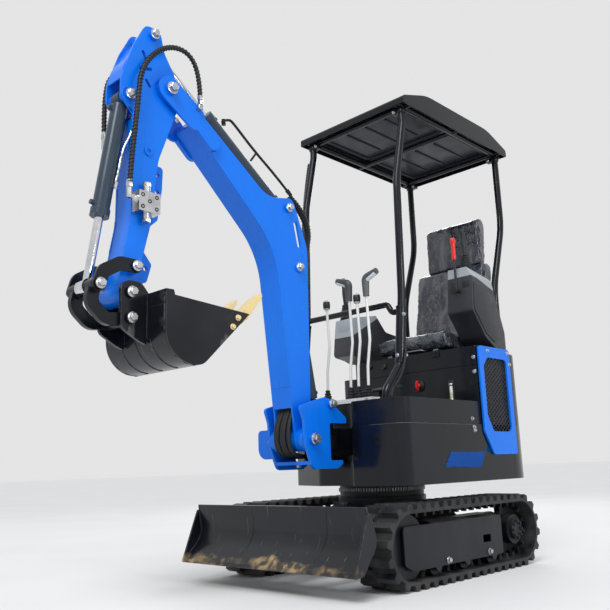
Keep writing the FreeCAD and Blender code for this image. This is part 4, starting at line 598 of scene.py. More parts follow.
# Black wire given a lighter grey tone: painted highlight for the light on the grille's black wires and on the
# skirt's top edge.
PAINTED_HIGHLIGHT_WIRE = Enamel("wire_painted_highlight", "black_paint", Tone.BLACK_LIGHT, Tone.DUST, 0.3, 0.1, 0.0, 0.3, 0.001)
SKIRT_PAINT = Enamel("skirt_enamel", "black_paint", Tone.BLACK, Tone.BLACK_LIGHT, 0.16, 0.1, 0.1, 0.4)
POST_PAINT = Enamel("post_enamel", "black_paint", Tone.BLACK, Tone.BLACK_LIGHT, 0.2, 0.1, 0.05, 0.4)
LINING = Enamel("lining_enamel", "black_paint", Tone.GRAPHITE, Tone.BLACK_LIGHT, 0.42, 0.2, 0.0, 0.2)
RUBBER_BOOT = Rubber("boot_rubber", "black_plastic", 0.06)
HANDLE_GREY = Moulded("handle_grey", "black_plastic", Tone.BLACK_LIGHT, 0.45, 0.4, 0.25)
LEFT_CAP = SplitMoulding("left_console", "black_plastic", -0.285, 1.287, 0.297)
RIGHT_CAP = SplitMoulding("right_console", "black_plastic", -0.111, 1.069, -0.54)
GLASS = GaugeGlass("gauge_glass", "red_plastic")


class Shape:
    """Collects the faces of one piece, in metres in the machine's frame."""

    def __init__(self, name: str) -> None:
        """Starts an empty shape.

        Args:
            name: the piece's name.
        """
        self.name = name
        self.bm = bmesh.new()

    def ring(self, centre: Vector, across: Vector, over: Vector, radius: float, sides: int) -> list[Vert]:
        """Adds a circle of vertices."""
        turn = 2 * math.pi / sides
        return [
            self.bm.verts.new(centre + radius * (math.cos(turn * i) * across + math.sin(turn * i) * over))
            for i in range(sides)
        ]

    def skin(self, rings: Sequence[Sequence[Vert]], capped: bool = True, closed: bool = False) -> None:
        """Joins rings of equal length with faces.

        Args:
            rings: the rings in order.
            capped: whether the first and last ring are filled.
            closed: whether the last ring joins the first.
        """
        pairs = list(zip(rings, rings[1:]))
        if closed:
            pairs.append((rings[-1], rings[0]))
        for first, second in pairs:
            count = len(first)
            for i in range(count):
                self.bm.faces.new((first[i], first[(i + 1) % count], second[(i + 1) % count], second[i]))
        if capped and not closed:
            self.bm.faces.new(list(reversed(rings[0])))
            self.bm.faces.new(rings[-1])

    def turned(self, at: Vector, axis: Vector, profile: Outline, sides: int = 24) -> None:
        """A turned piece.

        Args:
            at: its start on the axis.
            axis: the direction of its axis.
            profile: pairs of height along the axis and radius, in metres.
            sides: vertices round the axis.
        """
        along = Vector(axis).normalized()
        across = along.orthogonal().normalized()
        over = along.cross(across)
        self.skin([self.ring(at + along * height, across, over, radius, sides) for height, radius in profile])

    def tube(self, line: Sequence[Vector], radius: float, sides: int = 12, closed: bool = False) -> None:
        """A tube along a line of points, without twist."""
        points = [Vector(p) for p in line]
        last = len(points) - 1
        across: Optional[Vector] = None
        rings = []
        for index, point in enumerate(points):
            before = points[index - 1] if index or closed else point
            after = points[(index + 1) % len(points)] if index < last or closed else point
            along = (after - before).normalized()
            if across is None:
                across = along.orthogonal()
            across = (across - along * across.dot(along)).normalized()
            rings.append(self.ring(point, across, along.cross(across), radius, sides))
        self.skin(rings, closed=closed)

    def bulged(self, line: Sequence[Vector], radii: Sequence[float], sides: int, flat: float = 1.0) -> None:
        """A round piece whose radius changes along a line.

        Args:
            line: points along its middle.
            radii: its radius at each point.
            sides: vertices round it.
            flat: its thickness across, as a share of its width.
        """
        last = len(line) - 1
        across: Optional[Vector] = None
        rings = []
        for index, (point, radius) in enumerate(zip(line, radii)):
            along = (line[min(index + 1, last)] - line[max(index - 1, 0)]).normalized()
            if across is None:
                across = along.cross(Vector((0, 1, 0))).normalized()
            across = (across - along * across.dot(along)).normalized()
            rings.append(self.ring(point, across, along.cross(across) * flat, radius, sides))
        self.skin(rings)

    def plate(self, outline: Sequence[Place], depth: Vector) -> None:
        """A flat plate.

        Args:
            outline: its corners in order, in the machine's frame.
            depth: the step from this face to the opposite one.
        """
        first = [self.bm.verts.new(Vector(p)) for p in outline]
        second = [self.bm.verts.new(Vector(p) + depth) for p in outline]
        self.skin([first, second])

    def block(self, centre: Vector, size: Place, turn: Optional[Matrix] = None) -> None:
        """A box, to be softened when the piece is placed."""
        made = bmesh.ops.create_cube(self.bm, size=1.0)
        spin = turn.to_4x4() if turn else Matrix.Identity(4)
        scale = Matrix.Diagonal((*size, 1.0))
        bmesh.ops.transform(self.bm, matrix=Matrix.Translation(centre) @ spin @ scale, verts=made["verts"])

    def place(self, body: str, finish: Finish, soften: float = 0.0, smooth: float = 40.0) -> bpy.types.Object:
        """Turns the shape into a piece of the scene.

        Args:
            body: the body that it rides on.
            finish: its finish.
            soften: width of the bevel on its edges, in metres.
            smooth: edges flatter than this many degrees are shaded smooth.

        Returns:
            The new object.
        """
        bmesh.ops.recalc_face_normals(self.bm, faces=self.bm.faces)
        if soften:
            sharp = [e for e in self.bm.edges if e.is_manifold and e.calc_face_angle(0.0) > math.radians(30)]
            bmesh.ops.bevel(self.bm, geom=sharp, offset=soften, segments=2, profile=0.6, affect="EDGES",
                            clamp_overlap=True)
        mesh = bpy.data.meshes.new(self.name)
        self.bm.to_mesh(mesh)
        self.bm.free()
        return put(self.name, mesh, body, finish, smooth)


def put(name: str, mesh: bpy.types.ID, body: str, finish: Finish, smooth: float = 40.0) -> bpy.types.Object:
    """Adds a mesh or curve to the scene as a piece.

    Args:
        name: the piece's name.
        mesh: its mesh or curve data.
        body: the body that it rides on.
        finish: its finish.
        smooth: edges flatter than this many degrees are shaded smooth.

    Returns:
        The new object.
    """
    piece = bpy.data.objects.new(name, mesh)
    bpy.context.scene.collection.objects.link(piece)
    mesh.materials.append(finish.material())
    if isinstance(mesh, bpy.types.Mesh):
        mesh.shade_smooth()
        mesh.set_sharp_from_angle(angle=math.radians(smooth))
    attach(piece, body)
    log.info("%s rides on %s", name, body)
    return piece


def dress(finish: Finish, *nodes: str) -> None:
    """Gives solids of the frame a finish."""
    for name in nodes:
        node = frame["nodes"][name]
        node.data.materials.clear()
        node.data.materials.append(finish.material())
        log.info("%s is finished in %s", name, finish.name)


class Seating:
    """Finds where the solids' surfaces lie, so that fittings sit on them."""

    def __init__(self) -> None:
        """Builds one search tree over all the solids."""
        corners: list[Vector] = []
        faces: list[tuple[int, ...]] = []
        self.owner: list[str] = []
        for name, node in frame["nodes"].items():
            start = len(corners)
            corners.extend(v.co.copy() for v in node.data.vertices)
            for face in node.data.polygons:
                faces.append(tuple(start + i for i in face.vertices))
                self.owner.append(name)
        self.tree = BVHTree.FromPolygons(corners, faces)

    def touch(self, start: Place, direction: Place) -> tuple[Vector, str]:
        """Casts from a point.

        Args:
            start: where the cast starts, in metres.
            direction: where it goes.

        Returns:
            The first point met, and the body that owns it.

        Raises:
            ValueError: if nothing is met.
        """
        point, _, face, _ = self.tree.ray_cast(Vector(start), Vector(direction).normalized())
        if point is None:
            raise ValueError(f"nothing to sit on from {tuple(start)}")
        return point, frame["nodes"][self.owner[face]]["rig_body"]


SEATS = Seating()


def hexagon(shape: Shape, at: Vector, axis: Vector, across: float, height: float) -> None:
    """A bolt head with a turned top."""
    flat = across / 2
    shape.turned(at, axis, [(0, flat), (height * 0.82, flat), (height, flat * 0.84)], sides=6)


def bolt(shape: Shape, at: Vector, axis: Vector, across: float) -> None:
    """A bolt head on its washer."""
    out = Vector(axis).normalized()
    washer = [(0, across * 0.74), (0.0025, across * 0.74), (0.0035, across * 0.66)]
    shape.turned(at - out * 0.001, out, washer, sides=24)
    hexagon(shape, at + out * 0.002, out, across * 1.12, across * 0.55)


def bead(shape: Shape, line: Sequence[Vector], radius: float) -> None:
    """A weld bead: a rippled half-round seam along straight runs."""
    chance = random.Random(len(line) + int(1000 * line[0][0]))
    for start, end in zip(line, line[1:]):
        step = end - start
        count = max(2, int(step.length / RIPPLE))
        along = step.normalized()
        across = along.orthogonal().normalized()
        over = along.cross(across)
        rings = []
        for index in range(count + 1):
            swell = radius * (0.82 + 0.3 * (index % 2) + 0.12 * chance.random())
            rings.append(shape.ring(start + step * index / count, across, over, swell, 6))
        shape.skin(rings)


@dataclass
class Studio:
    """Floor, lamps, world and the camera of the reference view.

    Attributes:
        position: the camera's place in metres.
        yaw: direction of its view round Z, in degrees.
        pitch: how far it looks up, in degrees.
        roll: how far it leans about its view, in degrees.
        lens: its focal length in millimetres.
        sensor: width of its sensor in millimetres.
        floor_half: half width of the floor in metres.
        sky: the world's level as a light.
        backdrop: the world's level where the camera or a reflection sees it.
    """

    position: Point = (2.6708, 2.1156, 0.4456)
    yaw: float = -136.351
    pitch: float = 12.298
    roll: float = -1.975
    lens: float = 43.72
    sensor: float = 36.0
    floor_half: float = 60.0
    sky: float = 0.58
    backdrop: float = 0.78

    def camera(self) -> None:
        """Places the camera at the reference view's place, direction and tilt."""
        cy, sy = math.cos(math.radians(self.yaw)), math.sin(math.radians(self.yaw))
        cp, sp = math.cos(math.radians(self.pitch)), math.sin(math.radians(self.pitch))
        ahead = Vector((cy * cp, sy * cp, sp))
        right = Vector((sy, -cy, 0))
        above = right.cross(ahead)
        cr, sr = math.cos(math.radians(self.roll)), math.sin(math.radians(self.roll))
        right, above = cr * right + sr * above, cr * above - sr * right
        data = bpy.data.cameras.new("camera")
        data.lens, data.sensor_width = self.lens, self.sensor
        data.clip_start, data.clip_end = 0.05, 200
        camera = bpy.data.objects.new("camera", data)
        turn = Matrix((right, above, -ahead)).transposed()
        camera.matrix_world = Matrix.Translation(self.position) @ turn.to_4x4()
        bpy.context.scene.collection.objects.link(camera)
        bpy.context.scene.camera = camera

    def lamp(self, name: str, place: Point, aim: Point, power: float, size: float) -> None:
        """Adds a square soft box that faces a point.

        Args:
            name: the lamp's name.
            place: where it hangs.
            aim: the point that it faces.
            power: its power in watts.
            size: its side in metres.
        """
        data = bpy.data.lights.new(name, "AREA")
        data.energy, data.size = power, size
        lamp = bpy.data.objects.new(name, data)
        lamp.location = place
        lamp.rotation_euler = (Vector(aim) - Vector(place)).to_track_quat("-Z", "Y").to_euler()
        bpy.context.scene.collection.objects.link(lamp)

    def sun(self, aim: Point, strength: float, spread: float) -> None:
        """Adds a broad even light from one direction, so that the floor is as bright far away as near.

        Args:
            aim: the direction in which it shines.
            strength: its strength in watts a square metre.
            spread: its apparent width in degrees, which softens the shadows.
        """
        data = bpy.data.lights.new("broad", "SUN")
        data.energy, data.angle = strength, math.radians(spread)
        lamp = bpy.data.objects.new("broad", data)
        lamp.rotation_euler = Vector(aim).to_track_quat("-Z", "Y").to_euler()
        bpy.context.scene.collection.objects.link(lamp)

    def world(self) -> None:
        """A pale even sky, a little brighter where the camera or a reflection sees it."""
        world = bpy.data.worlds.new("studio")
        bpy.context.scene.world = world
        world.use_nodes = True
        tree = world.node_tree
        tree.nodes.clear()
        output = tree.nodes.new("ShaderNodeOutputWorld")
        background = tree.nodes.new("ShaderNodeBackground")
        path = tree.nodes.new("ShaderNodeLightPath")
        level = tree.nodes.new("ShaderNodeMapRange")
        background.inputs["Color"].default_value = (1, 1, 1, 1)
        seen = path.outputs["Is Camera Ray"]
        for ray in ("Is Glossy Ray", "Is Transmission Ray"):
            either = tree.nodes.new("ShaderNodeMath")
            either.operation = "MAXIMUM"
            tree.links.new(seen, either.inputs[0])
            tree.links.new(path.outputs[ray], either.inputs[1])
            seen = either.outputs[0]
        tree.links.new(seen, level.inputs["Value"])
        level.inputs["To Min"].default_value = self.sky
        level.inputs["To Max"].default_value = self.backdrop
        tree.links.new(level.outputs[0], background.inputs["Strength"])
        tree.links.new(background.outputs[0], output.inputs["Surface"])

    def floor(self) -> None:
        """A wide plain floor at the ground."""
        half = self.floor_half
        mesh = bpy.data.meshes.new("floor")
        corners = [(-half, -half, 0), (half, -half, 0), (half, half, 0), (-half, half, 0)]
        mesh.from_pydata(corners, [], [(0, 1, 2, 3)])
        floor = bpy.data.objects.new("floor", mesh)
        mesh.materials.append(StudioFloor("studio_floor", "").material())
        bpy.context.scene.collection.objects.link(floor)

    def build(self) -> None:
        """Sets up the whole studio."""
        bpy.context.scene.view_settings.view_transform = "Standard"
        self.camera()
        self.world()
        self.floor()
        self.sun((-0.55, -0.45, -1.0), 1.25, 28)
        self.lamp("key", (4.2, 1.6, 4.6), (0.2, 0, 1.0), 70, 1.6)
        self.lamp("strip", (0.6, 5.2, 2.4), (0, 0, 0.9), 50, 0.9)
        self.lamp("rim", (-4.0, -2.5, 3.8), (0, 0, 1.0), 50, 2.0)
        log.info("studio, camera and floor are in place")


@dataclass
class Line:
    """A route through control points, read back as a fine polyline.

    Attributes:
        points: the route's points in millimetres.
        fineness: steps of the curve from one point to the next.
    """

    points: Sequence[Point]
    fineness: int = 14

    def trace(self) -> list[Vector]:
        """The points of the route's smooth curve, in metres."""
        data = bpy.data.curves.new("route", "CURVE")
        data.dimensions = "3D"
        data.resolution_u = self.fineness
        spline = data.splines.new("NURBS")
        spline.points.add(len(self.points) - 1)
        for target, point in zip(spline.points, self.points):
            target.co = (*mm(*point), 1)
        spline.order_u = 3
        spline.use_endpoint_u = True
        holder = bpy.data.objects.new("route", data)
        mesh = bpy.data.meshes.new_from_object(holder)
        places = [v.co.copy() for v in mesh.vertices]
        bpy.data.objects.remove(holder)
        bpy.data.meshes.remove(mesh)
        return places


def spiral(shape: Shape, line: Sequence[Vector], radius: float, pitch: float, strip: float) -> None:
    """Winds a guard round a line.

    Args:
        shape: the shape that takes the winding.
        line: the fine polyline that it follows.
        radius: distance of the strip's middle from the line.
        pitch: length of one turn.
        strip: half width of the strip.
    """
    across = (line[1] - line[0]).orthogonal().normalized()
    angle = 0.0
    middles: list[Vector] = []
    for start, end in zip(line, line[1:]):
        along = (end - start).normalized()
        across = (across - along * across.dot(along)).normalized()
        over = along.cross(across)
        steps = max(1, round((end - start).length / pitch * TURN_STEPS))
        for step in range(steps):
            angle += 2 * math.pi * (end - start).length / pitch / steps
            centre = start.lerp(end, step / steps)
            middles.append(centre + radius * (math.cos(angle) * across + math.sin(angle) * over))
    shape.tube(middles, strip, 6)


@dataclass
class Hose:
    """One hose of a bundle.

    Attributes:
        points: its route in millimetres.
        radius: the bare hose's radius in millimetres.
        guard: whether a spiral guard is wound round it.
        lift: how far the guard's middle lies from the hose, in millimetres.
        pitch: length of one turn of the guard, in millimetres.
        strip: half width of the guard's strip, in millimetres.
    """

    points: Sequence[Point]
    radius: float
    guard: bool = True
    lift: float = 0.6
    pitch: float = 14.0
    strip: float = 2.1

    def length(self) -> float:
        """The hose's length in metres."""
        line = Line(self.points).trace()
        return sum((end - start).length for start, end in zip(line, line[1:]))

    def draw(self, tubes: Shape, guards: Shape) -> None:
        """Adds the hose and its guard to the bundle's shapes."""
        line = Line(self.points).trace()
        tubes.tube(line, self.radius / 1000, 14)
        if self.guard:
            spiral(guards, line, (self.radius + self.lift) / 1000, self.pitch / 1000, self.strip / 1000)


@dataclass
class Bundle:
    """Hoses that share a node of the frame and a way of moving.

    Attributes:
        node: the node that the bundle replaces.
        hoses: its hoses.
        body: the body that it rides on, if it crosses no joint.
        bend: the two bodies that it hangs between, if it crosses one; where it is given, the pieces are
            unparented from their body and their placement is baked into the mesh.
        ends: where the bend starts and ends, in millimetres; not used.
    """

    node: str
    hoses: Sequence[Hose]
    body: str
    bend: Optional[tuple[str, str]] = None
    ends: tuple[Point, Point] = ((0, 0, 0), (0, 0, 1))

    def build(self) -> None:
        """Makes the tubes and the guards."""
        tubes, guards = Shape(self.node + "_tubes"), Shape(self.node + "_guards")
        for hose in self.hoses:
            hose.draw(tubes, guards)
            log.info("%s: a hose of %.0f mm", self.node, 1000 * hose.length())
        pieces = [tubes.place(self.body, HOSE_RUBBER, smooth=60)]
        if any(hose.guard for hose in self.hoses):
            pieces.append(guards.place(self.body, GUARD, smooth=60))
        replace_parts(pieces[0], self.node)
        if self.bend:
            for piece in pieces:
                piece.parent = None
                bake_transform(piece)


def seated(name: str, spots: Sequence[Point], towards: Point, across: float, finish: Finish = ZINC) -> None:
    """Bolt heads that sit on whatever solid lies in their way.

    Args:
        name: the piece's name.
        spots: where each cast starts, in millimetres.
        towards: the direction of the casts.
        across: the heads' width in millimetres.
        finish: their finish.
    """
    shape = Shape(name)
    owner = ""
    for spot in spots:
        point, owner = SEATS.touch(mm(*spot), towards)
        bolt(shape, point, -Vector(towards), across / 1000)
    shape.place(owner, finish, smooth=30)


def seam(
    name: str, spots: Sequence[Point], towards: Point, radius: float, finish: Finish = BLACK_PAINT
) -> None:
    """A weld or sealed joint laid over a surface.

    Args:
        name: the piece's name.
        spots: where each cast starts, in millimetres.
        towards: the direction of the casts.
        radius: the bead's radius in millimetres.
        finish: its finish.
    """
    shape = Shape(name)
    met = [SEATS.touch(mm(*spot), towards) for spot in spots]
    bead(shape, [point for point, _ in met], radius / 1000)
    shape.place(met[0][1], finish, smooth=60)


def between(first: Point, last: Point, count: int) -> list[Point]:
    """Evenly spaced points from the first to the last."""
    start, end = Vector(first), Vector(last)
    return [tuple(start.lerp(end, i / (count - 1))) for i in range(count)]


@dataclass
class Undercarriage:
    """Tracks, rollers, sprockets and the frame between them.

    Attributes:
        outside: y of the casts from outside the machine, in millimetres.
        rollers: x and z of the roller bolts.
        sprocket: x and z of the sprocket's hub.
        hub_circle: radius of the circle of bolts on the hub.
        hub_bolts: number of bolts on it.
        teeth: number of teeth round the slew ring.
        tooth: a tooth's size along the radius, round the ring and upwards.
        ring_radius: radius of the teeth's middles.
        ring_level: height of the teeth's middles.
    """

    outside: float = 520
    rollers: Sequence[Pair] = ((184, 82), (-116, 84))
    sprocket: Pair = (-378, 150)
    hub_circle: float = 33
    hub_bolts: int = 8
    teeth: int = 96
    tooth: Point = (7, 6.2, 16)
    ring_radius: float = 187.0
    ring_level: float = 340.0

    def dress(self) -> None:
        """Gives the solids their finishes."""
        dress(TRACK_RUBBER, "track_left", "track_right")
        dress(CAST, "drive_sprockets", "front_idlers", "track_rollers", "travel_motors", "slew_ring")
        dress(FRAME_PAINT, "side_frames", "track_frame")

    def hubs(self, side: Side) -> None:
        """Ring of bolts on the sprocket's hub, in the dark cast finish as painted shade on the hub."""
        x, z = self.sprocket
        spots = []
        for index in range(self.hub_bolts):
            turn = 2 * math.pi * index / self.hub_bolts
            forward = self.hub_circle * math.cos(turn)
            up = self.hub_circle * math.sin(turn)
            spots.append((x + forward, side.value * self.outside, z + up))
        # The dark cast finish on these bolts is painted shade: the hub lies in shade, and the bolts are kept
        # as dark as it.
        seated(f"sprocket_bolts_{side.name.lower()}", spots, (0, -side.value, 0), 13, CAST)

    def gear(self) -> None:
        """The toothed edge of the slew ring."""
        shape = Shape("slew_ring_teeth")
        for index in range(self.teeth):
            turn = Matrix.Rotation(2 * math.pi * index / self.teeth, 3, "Z")
            middle = turn @ mm(self.ring_radius, 0, 0) + mm(0, 0, self.ring_level)
            shape.block(middle, mm(*self.tooth), turn)
        shape.place("undercarriage", STEEL, 0.0008, 30)

    def build(self) -> None:
        """Adds the bolts on the rollers and hubs."""
        self.dress()
        for side in Side:
            spots = [(x, side.value * self.outside, z) for x, z in self.rollers]
            seated(f"roller_bolts_{side.name.lower()}", spots, (0, -side.value, 0), 17)
            self.hubs(side)
        self.gear()


@dataclass
class Blade:
    """The dozer blade, its welded seams and its cylinder.

    Attributes:
        seams: y of the sheet's joints in millimetres.
        lean: how far a joint's two ends lie to the sides of that.
        wing: y of the welds along the end plates.
        front: x of the casts from the front.
        low: height of the seams' lower ends.
        high: height of their upper ends.
        casts: number of casts along a seam.
    """

    seams: Sequence[float] = (-130, 257)
    lean: float = 14
    wing: float = 452
    front: float = 900
    low: float = 88
    high: float = 296
    casts: int = 12

    def build(self) -> None:
        """Dresses the blade and lays the seams."""
        dress(BLADE_PAINT, "blade")
        dress(BARREL_PAINT, "blade_cylinder_tube")
        dress(CHROME, "blade_cylinder_rod")
        for index, y in enumerate(self.seams):
            top = (self.front, y + self.lean, self.high)
            foot = (self.front, y - self.lean, self.low)
            seam(f"blade_seam_{index}", between(top, foot, self.casts), (-1, 0, 0), 0.8)
        for side in Side:
            y = side.value * self.wing
            spots = between((self.front, y, self.high), (self.front, y, self.low), self.casts)
            seam(f"blade_wing_weld_{side.name.lower()}", spots, (-1, 0, 0), 2.4)


def clipped(at: Vector, along: Vector, outline: Outline) -> Optional[Pair]:
    """The part of a line inside a convex outline.

    Args:
        at: a point of the line, in X and Z.
        along: its direction.
        outline: the outline, counter-clockwise.

    Returns:
        The line's first and last parameter, or None if it misses.
    """
    low, high = -WIRE_REACH, WIRE_REACH
    for start, end in zip(outline, [*outline[1:], outline[0]]):
        inward = Vector((start[1] - end[1], end[0] - start[0]))
        depth = inward.dot(at - Vector(start))
        rate = inward.dot(along)
        if abs(rate) < PARALLEL:
            if depth < 0:
                return None
        elif rate > 0:
            low = max(low, -depth / rate)
        else:
            high = min(high, -depth / rate)
    return (low, high) if high - low > SHORTEST_WIRE else None


def weave(shape: Shape, outline: Outline, level: float, pitch: float, wire: float, steep: float) -> None:
    """Fills an outline in an XZ plane with crossing wires.

    Args:
        shape: the shape that takes the wires.
        outline: the convex outline, counter-clockwise, in metres.
        level: y of the plane in metres.
        pitch: distance between wires in millimetres.
        wire: radius of a wire in millimetres.
        steep: angle of the wires from the horizontal, in degrees.
    """
    middle = Vector((sum(x for x, _ in outline), sum(z for _, z in outline))) / len(outline)
    for sign in (1, -1):
        angle = math.radians(steep) * sign
        along = Vector((math.cos(angle), math.sin(angle)))
        across = Vector((-along.y, along.x))
        for index in range(-MOST_WIRES, MOST_WIRES + 1):
            at = middle + across * (index * pitch / 1000)
            span = clipped(at, along, outline)
            if span:
                ends = [at + along * t for t in span]
                lift = level + sign * wire / 2000
                shape.tube([Vector((p.x, lift, p.y)) for p in ends], wire / 1000, 6)


@dataclass
class WireMesh:
    """Diamond wire mesh that fills the outline of a node lying in an XZ plane.

    Attributes:
        node: the node that it replaces.
        finish: its finish.
        pitch: distance between wires in millimetres.
        wire: radius of a wire in millimetres.
        steep: angle of the wires from the horizontal, in degrees.
    """

    node: str
    finish: Finish
    pitch: float
    wire: float
    steep: float

    def outline(self) -> list[Pair]:
        """The node's convex outline in X and Z, counter-clockwise."""
        corners = frame["nodes"][self.node].data.vertices
        points = sorted({(round(v.co.x, 5), round(v.co.z, 5)) for v in corners})
        chains = []
        for order in (points, points[::-1]):
            chain: list[Pair] = []
            for point in order:
                while len(chain) > 1 and self.turn(chain[-2], chain[-1], point) <= 0:
                    chain.pop()
                chain.append(point)
            chains.append(chain[:-1])
        return chains[0] + chains[1]

    @staticmethod
    def turn(first: Pair, second: Pair, third: Pair) -> float:
        """Positive where three points turn to the left."""
        return (second[0] - first[0]) * (third[1] - first[1]) - (second[1] - first[1]) * (third[0] - first[0])

    def build(self) -> None:
        """Weaves the wires."""
        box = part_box(self.node)
        level = (box[0][1] + box[1][1]) / 2
        shape = Shape(self.node + "_wires")
        weave(shape, self.outline(), level, self.pitch, self.wire, self.steep)
        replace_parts(shape.place("house", self.finish, smooth=60), self.node)


@dataclass
class House:
    """Covers, counterweight, grille and the fittings on the seat box.

    Attributes:
        face: x of the seat box's front face, in millimetres.
        side: y of the skirt's left side.
        outside: y of the casts from the sides.
        behind: x of the casts from behind.
        corner: x and y about which the skirt's front corner turns.
        corner_steps: casts round that corner.
        lip_level: z of the skirt's upper edge.
        opening: x and z of the side vent's corners.
        key: y and z of the isolator key.
        buttons: y and z of the two plain buttons.
        gauge: y and z of the level gauge's middle.
        latch: y and z of the lid's latch.
    """

    face: float = -221
    side: float = 400
    outside: float = 500
    behind: float = -900
    corner: Pair = (150, 200)
    corner_steps: int = 20
    lip_level: float = 598
    opening: Outline = ((-183, 418), (91, 425), (39, 483), (-226, 481))
    key: Pair = (87, 798)
    buttons: Sequence[Pair] = ((-207, 922), (-119, 912))
    gauge: Pair = (260, 754)
    latch: Pair = (186, 936)

    def dress(self) -> None:
        """Gives the solids their finishes."""
        dress(SKIRT_PAINT, "house_skirt", "counterweight")
        dress(BLACK_PAINT, "house_base", "floor_box", "seat_box", "engine_cover", "rear_door", "seat_base")
        dress(CAST, "kingpost_housing", "engine_block")
        dress(CONSOLE_BLACK, "side_tank")
        dress(BLUE_PAINT, "grille_frame")

    def isolator(self) -> None:
        """The red battery isolator key on its round base, and two plain buttons."""
        base, key = Shape("isolator_base"), Shape("isolator_key")
        at = mm(self.face, *self.key)
        rim = [(0, 0.026), (0.006, 0.026), (0.009, 0.022), (0.009, 0.015), (0.014, 0.012)]
        base.turned(at, (1, 0, 0), rim, 36)
        for y, z in self.buttons:
            base.turned(mm(self.face, y, z), (1, 0, 0), [(0, 0.014), (0.006, 0.014), (0.009, 0.009)], 28)
        key.turned(at + mm(9, 0, 0), (1, 0, 0), [(0, 0.009), (0.008, 0.009), (0.010, 0.007)], 24)
        stem, deep, tall, thick, steps = 12, 11, 24, 7, 24
        wing = []
        for index in range(steps):
            turn = 2 * math.pi * index / steps
            wing.append(at + mm(stem + deep + deep * math.cos(turn), -thick / 2, tall * math.sin(turn)))
        key.plate(wing, mm(0, thick, 0))
        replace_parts(base.place("house", GRIP, 0.0006), "seat_box_fittings")
        key.place("house", RED_PLASTIC, 0.0012)

    def vent(self) -> None:
        """The slanted air vent in the skirt's side: blue diamond mesh before a black sheet, painted shade for
        the dark inside the opening.
        """
        shade_sheet, wires = Shape("side_vent_painted_shade"), Shape("side_vent_mesh")
        shade_sheet.plate([mm(x, self.side, z) for x, z in self.opening], mm(0, 0.8, 0))
        edges = [(x / 1000, z / 1000) for x, z in self.opening]
        weave(wires, edges, level=(self.side + 1.6) / 1000, pitch=10.0, wire=1.3, steep=26.0)
        shade_sheet.place("house", PAINTED_SHADE_SHEET)
        wires.place("house", MESH_BLUE, smooth=60)

    def edge_highlight(self) -> None:
        """A thin pale strip along the skirt's upper edge, along both sides and round the front corners: a
        painted highlight line for the light that the edge catches.
        """
        shape = Shape("skirt_edge_highlight")
        for side in Side:
            inward = (0, -side.value, 0)
            level = side.value * self.outside
            casts = [((x, level, self.lip_level), inward) for x in range(-140, 150, 20)]
            centre = Vector((self.corner[0], side.value * self.corner[1], self.lip_level))
            for step in range(self.corner_steps):
                turn = math.radians(90 - 80 * step / (self.corner_steps - 1))
                out = Vector((math.cos(turn), side.value * math.sin(turn), 0))
                casts.append((tuple(centre + out * 400), tuple(-out)))
            shape.tube([SEATS.touch(mm(*start), towards)[0] for start, towards in casts], 0.0016, 8)
        shape.place("house", PAINTED_HIGHLIGHT_WIRE, smooth=60)

    def level_gauge(self) -> None:
        """The sight gauge: a dark holder, a pale tube and two plated plugs."""
        y, z = self.gauge
        holder, glass, plugs = Shape("gauge_holder"), Shape("gauge_glass_tube"), Shape("gauge_plugs")
        holder.block(mm(self.face + 1.5, y, z), mm(4, 32, 108))
        holder.block(mm(self.face + 4, y, z + 38), mm(9, 22, 22))
        glass.turned(mm(self.face + 6, y, z - 36), (0, 0, 1), [(0, 0.007), (0.062, 0.007)], 20)
        for level in (-40, 29):
            plugs.turned(mm(self.face + 6, y, z + level), (0, 0, 1), [(0, 0.009), (0.009, 0.009)], 20)
            hexagon(plugs, mm(self.face + 10, y, z + level + 4), Vector((1, 0, 0)), 0.012, 0.005)
        holder.place("house", GRIP, 0.001)
        glass.place("house", GLASS)
        plugs.place("house", ZINC, 0.0005)

    def lid_latch(self) -> None:
        """The square latch at the seat lid's edge."""
        shape = Shape("lid_latch")
        y, z = self.latch
        shape.block(mm(self.face + 2, y, z), mm(5, 44, 34))
        shape.block(mm(self.face + 5, y, z + 7), mm(5, 30, 8))
        shape.tube([mm(self.face + 5, y - 14, z - 10), mm(self.face + 5, y + 14, z - 10)], 0.003)
        shape.place("house", BLACK_PAINT, 0.001)

    def fasteners(self) -> None:
        """Bolts of the covers and under the skirt."""
        out, back = self.outside, self.behind
        seated("seat_box_bolts", [(0, 384, z) for z in (898, 834, 633, 612)], (-1, 0, 0), 13)
        seated("grille_bolts", [(-476, out, 932), (-490, out, 880), (-300, out, 930)], (0, -1, 0), 12)
        seated("floor_edge_bolts", [(-150, out, 624)], (0, -1, 0), 12)
        seated("skirt_top_bolts", [(-152, out, 588), (-156, out, 574)], (0, -1, 0), 12)
        spots = [(x, 396, 250) for x in (4, -72, -157, -297, -418)]
        seated("skirt_edge_bolts", spots, (0, 0, 1), 14, BLACK_PAINT)
        seated("cover_bolts", [(back, y, z) for y in (-205, 205) for z in (650, 880)], (1, 0, 0), 12)
        spots = [(back, y, z) for y in (-150, 150) for z in (430, 540)]
        seated("tail_bolts", spots, (1, 0, 0), 20, BLACK_PAINT)
        seated("floor_bolts", [(-180, -60, 900), (-180, 240, 900), (322, 200, 900)], (0, 0, -1), 12)

    def build(self) -> None:
        """Dresses the house and adds its fittings."""
        self.dress()
        self.isolator()
        self.vent()
        self.edge_highlight()
        self.level_gauge()
        self.lid_latch()
        self.fasteners()
        # The grille's black wires take the lighter grey finish, a painted highlight.
        WireMesh("grille_mesh", PAINTED_HIGHLIGHT_WIRE, 16.5, 1.4, 35.0).build()
        WireMesh("skirt_vent", MESH_BLUE, 10.0, 1.1, 26.0).build()


